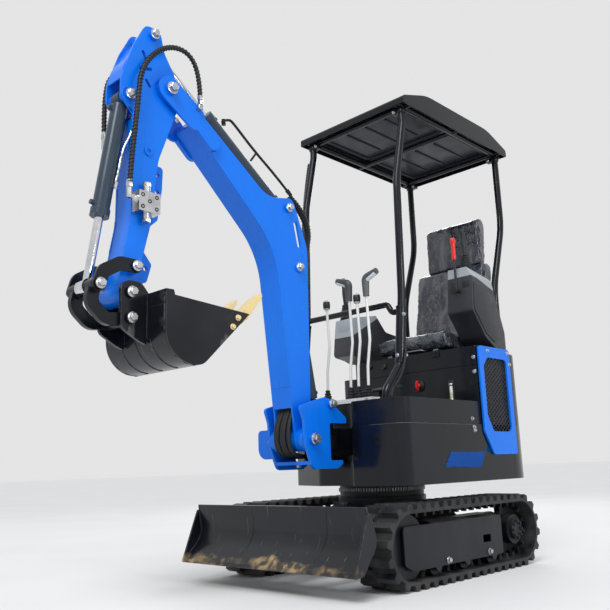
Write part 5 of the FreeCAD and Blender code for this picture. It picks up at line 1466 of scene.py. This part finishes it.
@dataclass
class Cushion:
    """A padded part of the seat under its loose clear cover.

    Attributes:
        node: the node that it replaces.
        voxel: grid of the skin in metres.
        puff: how far the faces swell between the edges, in metres.
        crinkle: depth of the cover's creases in metres.
        relax: rounds of smoothing, which round the corners.
    """

    node: str
    voxel: float = 0.005
    puff: float = 0.008
    crinkle: float = 0.0020
    relax: int = 36

    def swell(self, point: Vector, low: Vector, high: Vector) -> float:
        """How far a skin point moves out: full in the middle of a face, nothing at the seams."""
        share = 1.0
        for axis in range(3):
            span = high[axis] - low[axis]
            if span > 0.1:
                near = min(point[axis] - low[axis], high[axis] - point[axis])
                share *= min(1.0, max(0.0, near) / (0.35 * span))
        return self.puff * (share - 0.45)

    def creases(self, point: Vector) -> float:
        """Depth of the loose cover's folds at a point."""
        slow = noise.noise(point * 7.0)
        bent = point + Vector((slow, noise.noise(point * 9.0 + Vector((5, 1, 2))), slow)) * 0.05
        sharp = 1.0 - abs(noise.noise(bent * 19.0))
        fine = 1.0 - abs(noise.noise(bent * 47.0))
        return self.crinkle * (1.3 * sharp ** 6 + 0.6 * fine ** 4 - 0.6)

    def build(self) -> None:
        """Makes the skin, fills it and lays the folds."""
        source = bpy.data.objects.new("skin_source", frame["nodes"][self.node].data.copy())
        bpy.context.scene.collection.objects.link(source)
        remesh = source.modifiers.new("skin", "REMESH")
        remesh.mode = "VOXEL"
        remesh.voxel_size = self.voxel
        smooth = source.modifiers.new("relax", "SMOOTH")
        smooth.factor = 0.5
        smooth.iterations = self.relax
        shaped = source.evaluated_get(bpy.context.evaluated_depsgraph_get())
        mesh = bpy.data.meshes.new_from_object(shaped)
        bpy.data.objects.remove(source)
        corners = [v.co for v in mesh.vertices]
        low = Vector(min(c[i] for c in corners) for i in range(3))
        high = Vector(max(c[i] for c in corners) for i in range(3))
        moves = [v.normal * (self.swell(v.co, low, high) + self.creases(v.co)) for v in mesh.vertices]
        for vertex, move in zip(mesh.vertices, moves):
            vertex.co += move
        mesh.materials.clear()
        piece = put(self.node + "_cover", mesh, "house", SEAT_VINYL, 80)
        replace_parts(piece, self.node)


@dataclass
class Seat:
    """The operator's seat: cushion, back and headrest."""

    def rails(self) -> None:
        """Slide rails and the adjusting handle below the cushion."""
        shape = Shape("seat_rails")
        for y in (-110, 160):
            shape.block(mm(-400, y, 960), mm(280, 26, 14))
        handle = [
            (-250, -40, 962), (-226, -40, 966), (-222, 0, 966), (-222, 80, 966), (-226, 110, 966),
            (-250, 110, 962),
        ]
        shape.tube(Line(handle).trace(), 0.004)
        shape.place("house", STEEL, 0.001)

    def build(self) -> None:
        """Adds the padded parts and the rails."""
        Cushion("seat_cushion").build()
        Cushion("seat_back").build()
        Cushion("headrest", 0.0045, 0.006).build()
        self.rails()


def bellows(base: float, top: float, height: float, folds: int, start: float = 0.0) -> list[Pair]:
    """Profile of a rubber boot, as pairs of height and radius in metres.

    Args:
        base: radius at its foot in millimetres.
        top: radius at its top in millimetres.
        height: its height in millimetres.
        folds: number of folds.
        start: height of its foot in millimetres.

    Returns:
        The profile.
    """
    flange, neck, ridge, groove = 4, 6, 2.6, -2.0
    rim = (base + flange) / 1000
    profile = [(start / 1000, rim), ((start + flange) / 1000, rim)]
    for index in range(folds * 2 + 1):
        share = index / (folds * 2)
        radius = base + (top - base) * share + (ridge if index % 2 else groove)
        profile.append(((start + neck + (height - neck) * share) / 1000, radius / 1000))
    return profile


@dataclass
class Joystick:
    """A control stick on its rubber boot.

    Attributes:
        spot: x, y and z of the boot's foot in millimetres.
        sink: how far the boot's flange reaches below that, into the sloping console.
        boot: the boot's height.
        grip: height of the grip's top above the boot.
    """

    spot: Point
    sink: float = 12.0
    boot: float = 84.0
    grip: float = 124.0

    def draw(self, boots: Shape, grips: Shape) -> None:
        """Adds the boot and the grip to their shapes."""
        x, y, z = self.spot
        top = z + self.boot
        boots.turned(mm(x, y, z), (0, 0, 1), bellows(31, 17, self.boot, 6, -self.sink), 36)
        route = [(x, y, top - 8), (x, y, top + 40), (x + 2, y, top + 80), (x + 15, y, top + self.grip)]
        line = Line(route).trace()
        count = len(line) - 1
        radii = []
        for index in range(count + 1):
            share = index / count
            swell = 0.0045 * math.sin(math.pi * min(1.0, share * 1.25))
            waist = 0.0125 + swell + 0.006 * max(0.0, share - 0.6)
            radii.append(waist * (1.0 if share < 0.97 else 0.72))
        grips.bulged(line, radii, 24, 0.86)
        grips.turned(line[-3] + mm(10, 0, -6), (1, 0, 0.3), [(0, 0.006), (0.008, 0.006), (0.010, 0.004)], 16)


@dataclass
class Consoles:
    """The two consoles with their sticks, and the safety lever.

    Attributes:
        sticks: feet of the two joysticks in millimetres.
        lever: x and y of the safety lever.
        ribs: rings of its grip, raised and sunk.
    """

    sticks: Sequence[Point] = ((-340, 312, 1330), (-165, -300, 1178))
    lever: Pair = (-249, 308)
    ribs: int = 15

    def safety(self) -> None:
        """Black shaft and red ribbed grip of the safety lever."""
        shaft, grip = Shape("safety_lever_shaft"), Shape("safety_lever_grip")
        x, y = self.lever
        shaft.turned(mm(x, y, 1216), (0, 0, 1), [(0, 0.006), (0.16, 0.006)], 16)
        shaft.turned(mm(-272, y, 1222), (1, 0, 0), [(0, 0.010), (0.016, 0.010), (0.030, 0.008)], 20)
        profile = [(0.0, 0.008)]
        for index in range(self.ribs):
            profile.append((0.004 + 0.005 * index, 0.0105 if index % 2 else 0.0090))
        profile += [(0.084, 0.0125), (0.096, 0.0135), (0.106, 0.0100), (0.110, 0.0050)]
        grip.turned(mm(x, y, 1368), (0, 0, 1), profile, 24)
        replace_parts(shaft.place("house", GRIP), "safety_lever")
        grip.place("house", RED_PLASTIC)

    def panels(self) -> None:
        """The raised black side panel of the left console, a block on that console's front and the lid of the
        right console.
        """
        panel = Shape("left_console_panel")
        outline = [
            (-290, 1258), (-430, 1222), (-452, 1204), (-508, 1046), (-504, 1024), (-440, 986),
            (-424, 986), (-358, 1022), (-274, 1124), (-272, 1140), (-282, 1250),
        ]
        panel.plate([mm(x, 379.5, z) for x, z in outline], mm(0, 4, 0))
        panel.place("house", CONSOLE_BLACK, 0.0016)
        shell = Shape("left_console_front")
        shell.block(mm(-279, 278, 1240), mm(22, 34, 60))
        shell.block(mm(-281, 346, 1248), mm(18, 40, 34))
        shell.place("house", GRIP, 0.004)
        lid = Shape("right_console_lid")
        rim = []
        for index in range(28):
            turn = 2 * math.pi * index / 28
            out, up = math.cos(turn), math.sin(turn)
            rim.append(mm(-128 + 0.4 * out, -282 + 34 * out, 1112 + 28 * up))
        lid.plate(rim, mm(11, 0, -1.6))
        lid.place("house", CONSOLE_GREY, 0.002)

    def build(self) -> None:
        """Dresses the consoles and adds their parts."""
        dress(LEFT_CAP, "left_console")
        dress(RIGHT_CAP, "right_console")
        boots, grips = Shape("joystick_boots"), Shape("joystick_grips")
        for spot in self.sticks:
            Joystick(spot).draw(boots, grips)
        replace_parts(boots.place("house", RUBBER_BOOT, smooth=50), "joysticks")
        grips.place("house", GRIP, smooth=60)
        self.safety()
        self.panels()


@dataclass
class Controls:
    """Travel and blade levers, their grips and boots, and the pedals.

    Attributes:
        levers: y, height of the grip's foot, and the side to which its handle turns.
        reach: x of the levers.
        floor: top of the plate that carries them.
        mat: x and y of the floor mat's corners.
        mat_level: height of its underside.
        mat_ribs: number of its ribs.
    """

    levers: Sequence[tuple[float, float, int]] = (
        (74, 1155, -1), (117, 1129, 0), (170, 1160, 1), (-60, 1129, 0)
    )
    reach: float = 250
    floor: float = 718
    mat: Outline = ((-205, -170), (205, -170), (205, 30), (30, 30), (30, 196), (-205, 196))
    mat_level: float = 700
    mat_ribs: int = 17

    def handle(self, handles: Shape, y: float, top: float, hook: int) -> None:
        """A bent hand grip on a travel lever.

        Args:
            handles: the shape that takes it.
            y: the lever's place.
            top: height of the grip's foot.
            hook: the side to which it turns.
        """
        x = self.reach
        line = Line([
            (x, y, top - 10), (x, y, top + 40), (x, y, top + 68), (x, y + hook * 22, top + 78),
            (x, y + hook * 64, top + 90),
        ]).trace()
        count = len(line) - 1
        radii = [0.0122 + 0.0045 * math.sin(math.pi * i / count) ** 0.5 for i in range(count + 1)]
        handles.bulged(line, [max(r, 0.0136) for r in radii], 22)

    def grips(self) -> None:
        """Handles, knobs and rubber boots of the levers."""
        handles, knobs, boots = Shape("lever_handles"), Shape("lever_knobs"), Shape("lever_boots")
        knob = [(0, 0.009), (0.004, 0.0145), (0.020, 0.0165), (0.034, 0.0155), (0.041, 0.010), (0.043, 0.003)]
        for y, top, hook in self.levers:
            boots.turned(mm(self.reach, y - 13, self.floor), (0, 0, 1), bellows(19, 8, 52, 4), 28)
            if hook:
                self.handle(handles, y, top, hook)
            else:
                knobs.turned(mm(self.reach, y, top - 1), (0, 0, 1), knob, 28)
        handles.place("house", HANDLE_GREY, smooth=60)
        knobs.place("house", GRIP, smooth=60)
        boots.place("house", RUBBER_BOOT, smooth=50)

    def floor_mat(self) -> None:
        """The ribbed rubber mat on the floor."""
        mat = Shape("floor_mat")
        mat.plate([mm(x, y, self.mat_level) for x, y in self.mat], mm(0, 0, 4))
        for index in range(self.mat_ribs):
            mat.block(mm(-190 + index * 24, -70, self.mat_level + 4.6), mm(8, 180, 2.4))
        mat.place("house", RUBBER_BOOT, 0.0008)

    def build(self) -> None:
        """Dresses the levers and pedals and adds the grips and the mat."""
        dress(LEVER_PAINT, "control_levers")
        dress(GRIP, "pedals")
        self.grips()
        self.floor_mat()


@dataclass
class Canopy:
    """Canopy: roof, its ribbed lining, tubes, posts, clamps and cables.

    Attributes:
        level: height of the lining in millimetres.
        sheet: x and y of the lining's corners.
        bays: x of the ends of the lining's panels.
        half: half width of a panel.
        bend: radius of a panel's corners.
        bend_steps: steps round a corner.
        flutes: y of the flutes pressed into a panel.
        apart: distance of the posts from the centre plane.
        tops: x and y of the posts' upper ends.
        sleeve: x and z of a front post's sleeve at its lower end.
        sleeve_long: from the sleeve's lower ring to its upper one.
    """

    level: float = 2082
    sheet: Outline = ((-796, -304), (72, -304), (72, 304), (-796, 304))
    bays: Sequence[Pair] = ((-350, 30), (-770, -390))
    half: float = 236
    bend: float = 40
    bend_steps: int = 6
    flutes: Sequence[float] = (-120, 0, 120)
    apart: float = 280
    tops: Sequence[Pair] = ((58, 280), (58, -280), (-778, 280), (-778, -280))
    sleeve: Pair = (184, 850)
    sleeve_long: float = 242

    def rib(self, rear: float, front: float) -> list[Vector]:
        """Middle line of the rib round a panel, with quarter circles at the corners."""
        near, far, side = rear + self.bend, front - self.bend, self.half - self.bend
        loop = []
        for corner, (x, y) in enumerate(((far, side), (near, side), (near, -side), (far, -side))):
            for step in range(self.bend_steps + 1):
                angle = math.pi / 2 * (corner + step / self.bend_steps)
                out, over = self.bend * math.cos(angle), self.bend * math.sin(angle)
                loop.append(mm(x + out, y + over, self.level - 1))
        return loop

    def lining(self) -> None:
        """Pressed panels with rounded ribs round them and three flutes each."""
        sheet, ribs = Shape("canopy_lining"), Shape("canopy_ribs")
        sheet.plate([mm(x, y, self.level) for x, y in self.sheet], mm(0, 0, 3))
        low = self.level - 1.5
        for rear, front in self.bays:
            ribs.tube(self.rib(rear, front), 0.009, 10, closed=True)
            for y in self.flutes:
                ribs.tube([mm(rear + 60, y, self.level), mm(rear + 66, y, low), mm(front - 66, y, low),
                           mm(front - 60, y, self.level)], 0.006, 10)
        sheet.place("house", LINING, 0.0004)
        ribs.place("house", LINING, smooth=60)

    def clamps(self) -> None:
        """Clamps that join the posts to the roof's tubes, with their bolts."""
        clamps, heads = Shape("canopy_clamps"), Shape("canopy_clamp_bolts")
        for x, y in self.tops:
            out = math.copysign(1, y)
            clamps.turned(mm(x, y, 2022), (0, 0, 1), [(0, 0.0215), (0.024, 0.0215)], 28)
            clamps.block(mm(x, y - out * 30, 2034), mm(30, 26, 20))
            bolt(heads, mm(x + 15, y - out * 32, 2034), Vector((1, 0, 0)), 0.011)
        clamps.place("house", CANOPY_PAINT, 0.0015)
        heads.place("house", ZINC, smooth=30)

    def sleeves(self) -> None:
        """Bolts on the front posts' sleeves and rings at the sleeves' ends."""
        seated("sleeve_bolts_front", [(400, y, 884) for y in (self.apart, -self.apart)], (-1, 0, 0), 12)
        seated("sleeve_bolts_side", [(172, 500, 884), (168, 500, 1060)], (0, -1, 0), 12)
        rings = Shape("sleeve_rings")
        x, z = self.sleeve
        along = (mm(146, 0, 1150) - mm(x, 0, z)).normalized()
        ring = [(0, 0.0222), (0.001, 0.0236), (0.008, 0.0236), (0.009, 0.0222)]
        for y in (self.apart, -self.apart):
            for step in (0, self.sleeve_long):
                rings.turned(mm(x, y, z) + along * (step / 1000), along, ring, 32)
        rings.place("house", BLACK_PAINT, smooth=30)

    def cables(self) -> None:
        """Wrapped cables that follow two of the posts."""
        out = self.apart + 17 + 5 + 6.3
        x, z = self.sleeve
        right = Hose([
            (158, -out, 700), (158, -out, 734), (x, -out, z), (146, -out, 1150), (128, -out, 1690),
            (64, -out, 1960),
        ], 5.0)
        left = Hose([
            (180, out, 910), (192, out, 840), (256, out + 8, 766), (310, out + 12, 730), (310, out + 12, 700),
        ], 5.0)
        Bundle("post_cables", [right, left], "house").build()

    def build(self) -> None:
        """Dresses the canopy and adds its parts."""
        dress(CANOPY_PAINT, "canopy_roof", "canopy_frame")
        dress(POST_PAINT, "canopy_front_posts", "canopy_rear_posts")
        self.lining()
        self.clamps()
        self.sleeves()
        self.cables()


@dataclass
class Pin:
    """A pivot pin with a plated head on both sides.

    Attributes:
        name: the pivot's name.
        x, z: its place in millimetres.
        across: width of the hexagonal head in millimetres.
    """

    name: str
    x: float
    z: float
    across: float = 24.0

    def build(self, heads: dict[str, Shape]) -> None:
        """Adds its two heads to the shapes of the bodies that they sit on."""
        for side in Side:
            towards = Vector((0, -side.value, 0))
            point, body = SEATS.touch(mm(self.x, side.value * OUTSIDE, self.z), towards)
            shape = heads.setdefault(body, Shape(f"pin_heads_{body}"))
            bolt(shape, point, -towards, self.across / 1000)
            log.info("pin %s has a head on %s", self.name, body)


def union(wide: float, long: float, narrow: float, whole: float) -> list[Pair]:
    """Profile of a pipe union: a hexagon and a collar on top of it, in metres.

    Args:
        wide: radius of the hexagon.
        long: its height.
        narrow: radius of the collar.
        whole: height of both.

    Returns:
        Pairs of height and radius.
    """
    return [(0, wide), (long, wide), (long + 0.002, narrow), (whole, narrow)]


@dataclass
class WeldRing:
    """A fillet weld round a boss on a side plate.

    Attributes:
        x, z: its middle in millimetres.
        radius: its radius.
        level: y of the plate's outer face.
        steps: straight runs round it.
    """

    x: float
    z: float
    radius: float
    level: float
    steps: int = 32

    def draw(self, shape: Shape) -> None:
        """Lays the bead on both sides of the machine."""
        for side in Side:
            line = []
            for index in range(self.steps + 1):
                turn = 2 * math.pi * index / self.steps
                forward, up = self.radius * math.cos(turn), self.radius * math.sin(turn)
                line.append(mm(self.x + forward, side.value * self.level, self.z + up))
            bead(shape, line, 0.0026)


@dataclass
class DiggingArm:
    """Bracket, boom and arm with their cylinders, pins, welds, pipes and hoses.

    Attributes:
        pins: the pivots.
        barrels: the cylinders, by the first word of their nodes.
        boss: x and z of the small boss on the arm's side plates.
        boss_profile: its height and radius, in metres.
        loop_apart: distance of the hoses over the elbow from the centre plane.
        hose_apart: distance between neighbouring hoses.
    """

    pins: Sequence[Pin] = (
        Pin("foot", 544, 550, 31), Pin("boom_base", 436, 689, 26), Pin("boom_eye", 541, 1253, 25),
        Pin("stick_base", 595, 1497, 25), Pin("elbow", 1200, 1810, 31), Pin("stick_eye", 1264, 2010, 26),
        Pin("scoop_base", 1362, 1738, 26), Pin("guide", 1343, 1112, 25), Pin("link", 1477, 1033, 25),
        Pin("wrist", 1355, 1024, 26), Pin("ear", 1354, 938, 25),
    )
    barrels: Sequence[str] = ("boom", "arm", "bucket", "swing")
    boss: Pair = (1279, 1549)
    boss_profile: Outline = (
        (-0.002, 0.017), (0.0045, 0.017), (0.006, 0.0155), (0.006, 0.009), (0.0005, 0.008), (0.0005, 0.001)
    )
    loop_apart: float = 86
    hose_apart: float = 21.0

    def dress(self) -> None:
        """Gives the solids their finishes."""
        dress(BLUE_PAINT, "boom", "arm", "swing_bracket")
        for name in self.barrels:
            dress(BARREL_PAINT, f"{name}_cylinder_tube")
            dress(CHROME, f"{name}_cylinder_rod")
        dress(BLACK_PAINT, "guide_links", "bucket_link")
        dress(ZINC, "arm_valve_block")

    def heads(self) -> None:
        """Pin heads, one piece for each body."""
        shapes: dict[str, Shape] = {}
        for pin in self.pins:
            pin.build(shapes)
        for body, shape in shapes.items():
            shape.place(body, ZINC, smooth=30)

    def welds(self) -> None:
        """Fillet welds round the bosses and along the boom's and arm's boxes."""
        boom, arm = Shape("boom_welds"), Shape("arm_welds")
        WeldRing(541, 1253, 23, 55.4).draw(boom)
        for side in Side:
            fork = [(1000, 1664), (1042, 1712), (1078, 1736)]
            bead(boom, [mm(x, side.value * 56, z) for x, z in fork], 0.0026)
            fin = [(516, 1300), (524, 1380), (545, 1450)]
            bead(boom, [mm(x, side.value * 55.2, z) for x, z in fin], 0.0026)
        boom.place("boom", BLUE_PAINT, smooth=60)
        WeldRing(1362, 1738, 26, 50.4).draw(arm)
        for side in Side:
            y = side.value * 47.5
            for low, high in ((1180, 1300), (1440, 1700)):
                spots = between((1700, y, high), (1700, y, low), 9)
                bead(arm, [SEATS.touch(mm(*spot), (-1, 0, 0))[0] for spot in spots], 0.0022)
        arm.place("arm", BLUE_PAINT, smooth=60)

    def bosses(self) -> None:
        """The small drilled boss on both side plates of the arm."""
        shape = Shape("arm_bosses")
        x, z = self.boss
        for side in Side:
            point, _ = SEATS.touch(mm(x, side.value * 90, z), (0, -side.value, 0))
            shape.turned(point, (0, side.value, 0), self.boss_profile, 32)
        shape.place("arm", BLUE_PAINT, smooth=40)

    def pipes(self) -> None:
        """Steel pipes along the arm's and bucket's cylinders, with their fittings."""
        pipe = Shape("arm_cylinder_pipe")
        line = Line([
            (908, 20, 1799), (878, 20, 1818), (852, 20, 1804), (750, 20, 1724), (622, 20, 1641),
            (548, 20, 1584),
        ])
        pipe.tube(line.trace(), 0.0055, 12)
        pipe.turned(mm(906, 20, 1782), (0.1, 0, 1), union(0.010, 0.016, 0.008, 0.024), 6)
        pipe.turned(mm(562, 20, 1595), (-0.8, 0, -0.6), union(0.009, 0.016, 0.008, 0.030), 6)
        pipe.turned(mm(735, 20, 1712), (0.6, 0, -0.8), [(0, 0.0045), (0.05, 0.0045)], 12)
        pipe.place("arm_tube", BLACK_PAINT, smooth=30)
        pipe = Shape("bucket_cylinder_pipe")
        line = Line([
            (1348, 30, 1668), (1327, 30, 1676), (1337, 30, 1600), (1368, 30, 1545), (1386, 30, 1441),
            (1398, 30, 1396),
        ])
        pipe.tube(line.trace(), 0.005, 12)
        pipe.turned(mm(1392, 30, 1408), (0.25, 0, -1), [(0, 0.009), (0.02, 0.009)], 6)
        pipe.place("bucket_tube", ZINC, smooth=30)

    def fittings(self) -> None:
        """Unions, plugs and bolts at the hoses' ends."""
        shape = Shape("arm_hose_fittings")
        for side in Side:
            y = side.value * self.loop_apart
            shape.turned(mm(1074, y, 1786), (0, 0, 1), union(0.011, 0.018, 0.0125, 0.034), 6)
            neck = [(0, 0.012), (0.03, 0.012), (0.032, 0.010)]
            shape.turned(mm(1074, side.value * 60, 1776), (0, side.value, 0), neck, 6)
            shape.turned(mm(1074, y - side.value * 4, 1770), (0, 0, 1), [(0, 0.010), (0.022, 0.010)], 20)
        shape.place("boom", ZINC, 0.0006, 30)
        block = Shape("valve_block_fittings")
        for x, z in ((1299, 1410), (1299, 1280)):
            block.turned(mm(x, 74, z - 4), (0, 0, 1), [(0, 0.015), (0.012, 0.015), (0.014, 0.012)], 6)
        # Socket plugs in the block's face; their black cast finish is painted shade for the dark of the
        # holes.
        plugs = Shape("valve_block_plugs_painted_shade")
        socket = [(0, 0.0075), (0.002, 0.0075), (0.003, 0.006), (0.001, 0.003)]
        for x, z in ((1271, 1323), (1327, 1323), (1271, 1365), (1327, 1365), (1299, 1346)):
            plugs.turned(mm(x, 93, z), (0, 1, 0), socket, 20)
        plugs.place("arm", CAST, smooth=30)
        block.turned(mm(1345, 84, 1344), (1, 0, 0), union(0.014, 0.010, 0.010, 0.020), 6)
        block.turned(mm(1374, 84, 1382), (0, 0, 1), union(0.0125, 0.016, 0.011, 0.026), 6)
        block.turned(mm(1374, -84, 1610), (0, 0, 1), union(0.0125, 0.016, 0.011, 0.028), 6)
        block.place("arm", ZINC, 0.0006, 30)

    def hoses(self) -> None:
        """All hoses of the boom and arm, along the same routes as the solids."""
        loop = ((1074, 1790), (1076, 1905), (1130, 1985), (1236, 1966))
        near = loop + ((1335, 1850), (1348, 1690), (1372, 1450), (1374, 1395))
        far = loop + ((1345, 1885), (1379, 1790), (1374, 1634))
        out = self.loop_apart
        pair = [Hose([(x, out, z) for x, z in near], 8.0), Hose([(x, -out, z) for x, z in far], 8.0)]
        Bundle("arm_hoses", pair, "arm", ("boom", "arm"), ((1076, out, 1905), (1335, out, 1850))).build()
        hanging = []
        for index in range(2):
            shift = index * self.hose_apart
            back = shift / 3
            hanging.append(Hose([
                (546 - back, 22 - shift, 1570), (478 - back, 20 - shift, 1535),
                (412 - back, 10 - shift, 1440), (436 - back, -4 - shift, 1330),
                (404 - back, -24 - shift, 1180), (404 - back, -44 - shift, 1010),
                (470, -98, 880 - shift), (540, -98, 850 - shift), (540, -56, 850 - shift),
            ], 7.6))
        Bundle("boom_hoses", hanging, "boom").build()
        foot = []
        for index, bulge in enumerate((0, 7, 2, 9, 4)):
            y = (index - 2) * self.hose_apart * 0.9
            foot.append(Hose([
                (564, y * 0.89, 715), (578, y * 0.89, 668), (608 + bulge, y, 600), (608 + bulge, y, 526),
                (574, y, 484), (488, y, 484),
            ], 7.8, False))
        Bundle("foot_hoses", foot, "boom", ("swing_bracket", "boom"), ((520, 0, 484), (590, 0, 668))).build()

    def build(self) -> None:
        """Dresses the digging arm and adds its parts."""
        self.dress()
        self.heads()
        self.welds()
        self.bosses()
        seam("boom_front_seam", between((900, -46, 757), (900, 46, 757), 9), (-1, 0, 0), 1.6, BLUE_PAINT)
        self.pipes()
        self.fittings()
        self.hoses()
        seated("bracket_bolts", [(460, y, 300) for y in (-60, 60)], (0, 0, 1), 18)


@dataclass
class Bucket:
    """Bucket with its painted teeth, their bolts and its welds.

    Attributes:
        half: half width of the bucket in millimetres.
        strips: y of the seams round its back.
        belly: x and z of the middle of its curved back.
        strip_from: direction from there to a seam's start, in degrees.
        strip_to: direction to its end.
        strip_steps: casts along a seam.
        wall: from the side's outer face to the weld inside it.
    """

    half: float = 180
    strips: Sequence[float] = (-88, 0, 88)
    belly: Pair = (1235, 860)
    strip_from: float = -128
    strip_to: float = 14
    strip_steps: int = 36
    wall: float = 9

    def build(self) -> None:
        """Dresses the bucket and adds its welds and bolts."""
        dress(BUCKET_PAINT, "bucket")
        dress(TOOTH_PAINT, "bucket_teeth")
        welds = Shape("bucket_welds")
        for side in Side:
            y = side.value * (self.half - self.wall)
            spots = [(1500, y, z) for z in (1000, 960, 920, 880)]
            bead(welds, [SEATS.touch(mm(*spot), (-1, 0, 0))[0] for spot in spots], 0.0026)
            spots = [(x, y, 600) for x in (1010, 1050, 1090, 1130, 1170, 1210, 1250)]
            bead(welds, [SEATS.touch(mm(*spot), (0, 0, 1))[0] for spot in spots], 0.0026)
        for y in self.strips:
            spots = []
            for index in range(self.strip_steps):
                share = index / (self.strip_steps - 1)
                turn = math.radians(self.strip_from + (self.strip_to - self.strip_from) * share)
                out = Vector((math.cos(turn), 0, math.sin(turn)))
                start = mm(self.belly[0], y, self.belly[1]) + out * 0.4
                spots.append(SEATS.touch(start, -out)[0])
            welds.tube(spots, 0.0026, 8)
        welds.place("bucket", BUCKET_PAINT, smooth=60)
        for side in Side:
            spots = [(x, side.value * 400, z) for x, z in ((985, 965), (1010, 930))]
            seated(f"cutter_bolts_{side.name.lower()}", spots, (0, -side.value, 0), 15, TOOTH_PAINT)


def main() -> None:
    """Builds the studio and every sub-assembly in order."""
    logging.basicConfig(level=logging.INFO, format="%(name)s: %(message)s")
    Studio().build()
    parts = (
        Undercarriage(), Blade(), House(), Seat(), Consoles(), Controls(), Canopy(), DiggingArm(), Bucket(),
    )
    for part in parts:
        log.info("building %s", type(part).__name__)
        part.build()


if __name__ == "__main__":
    main()
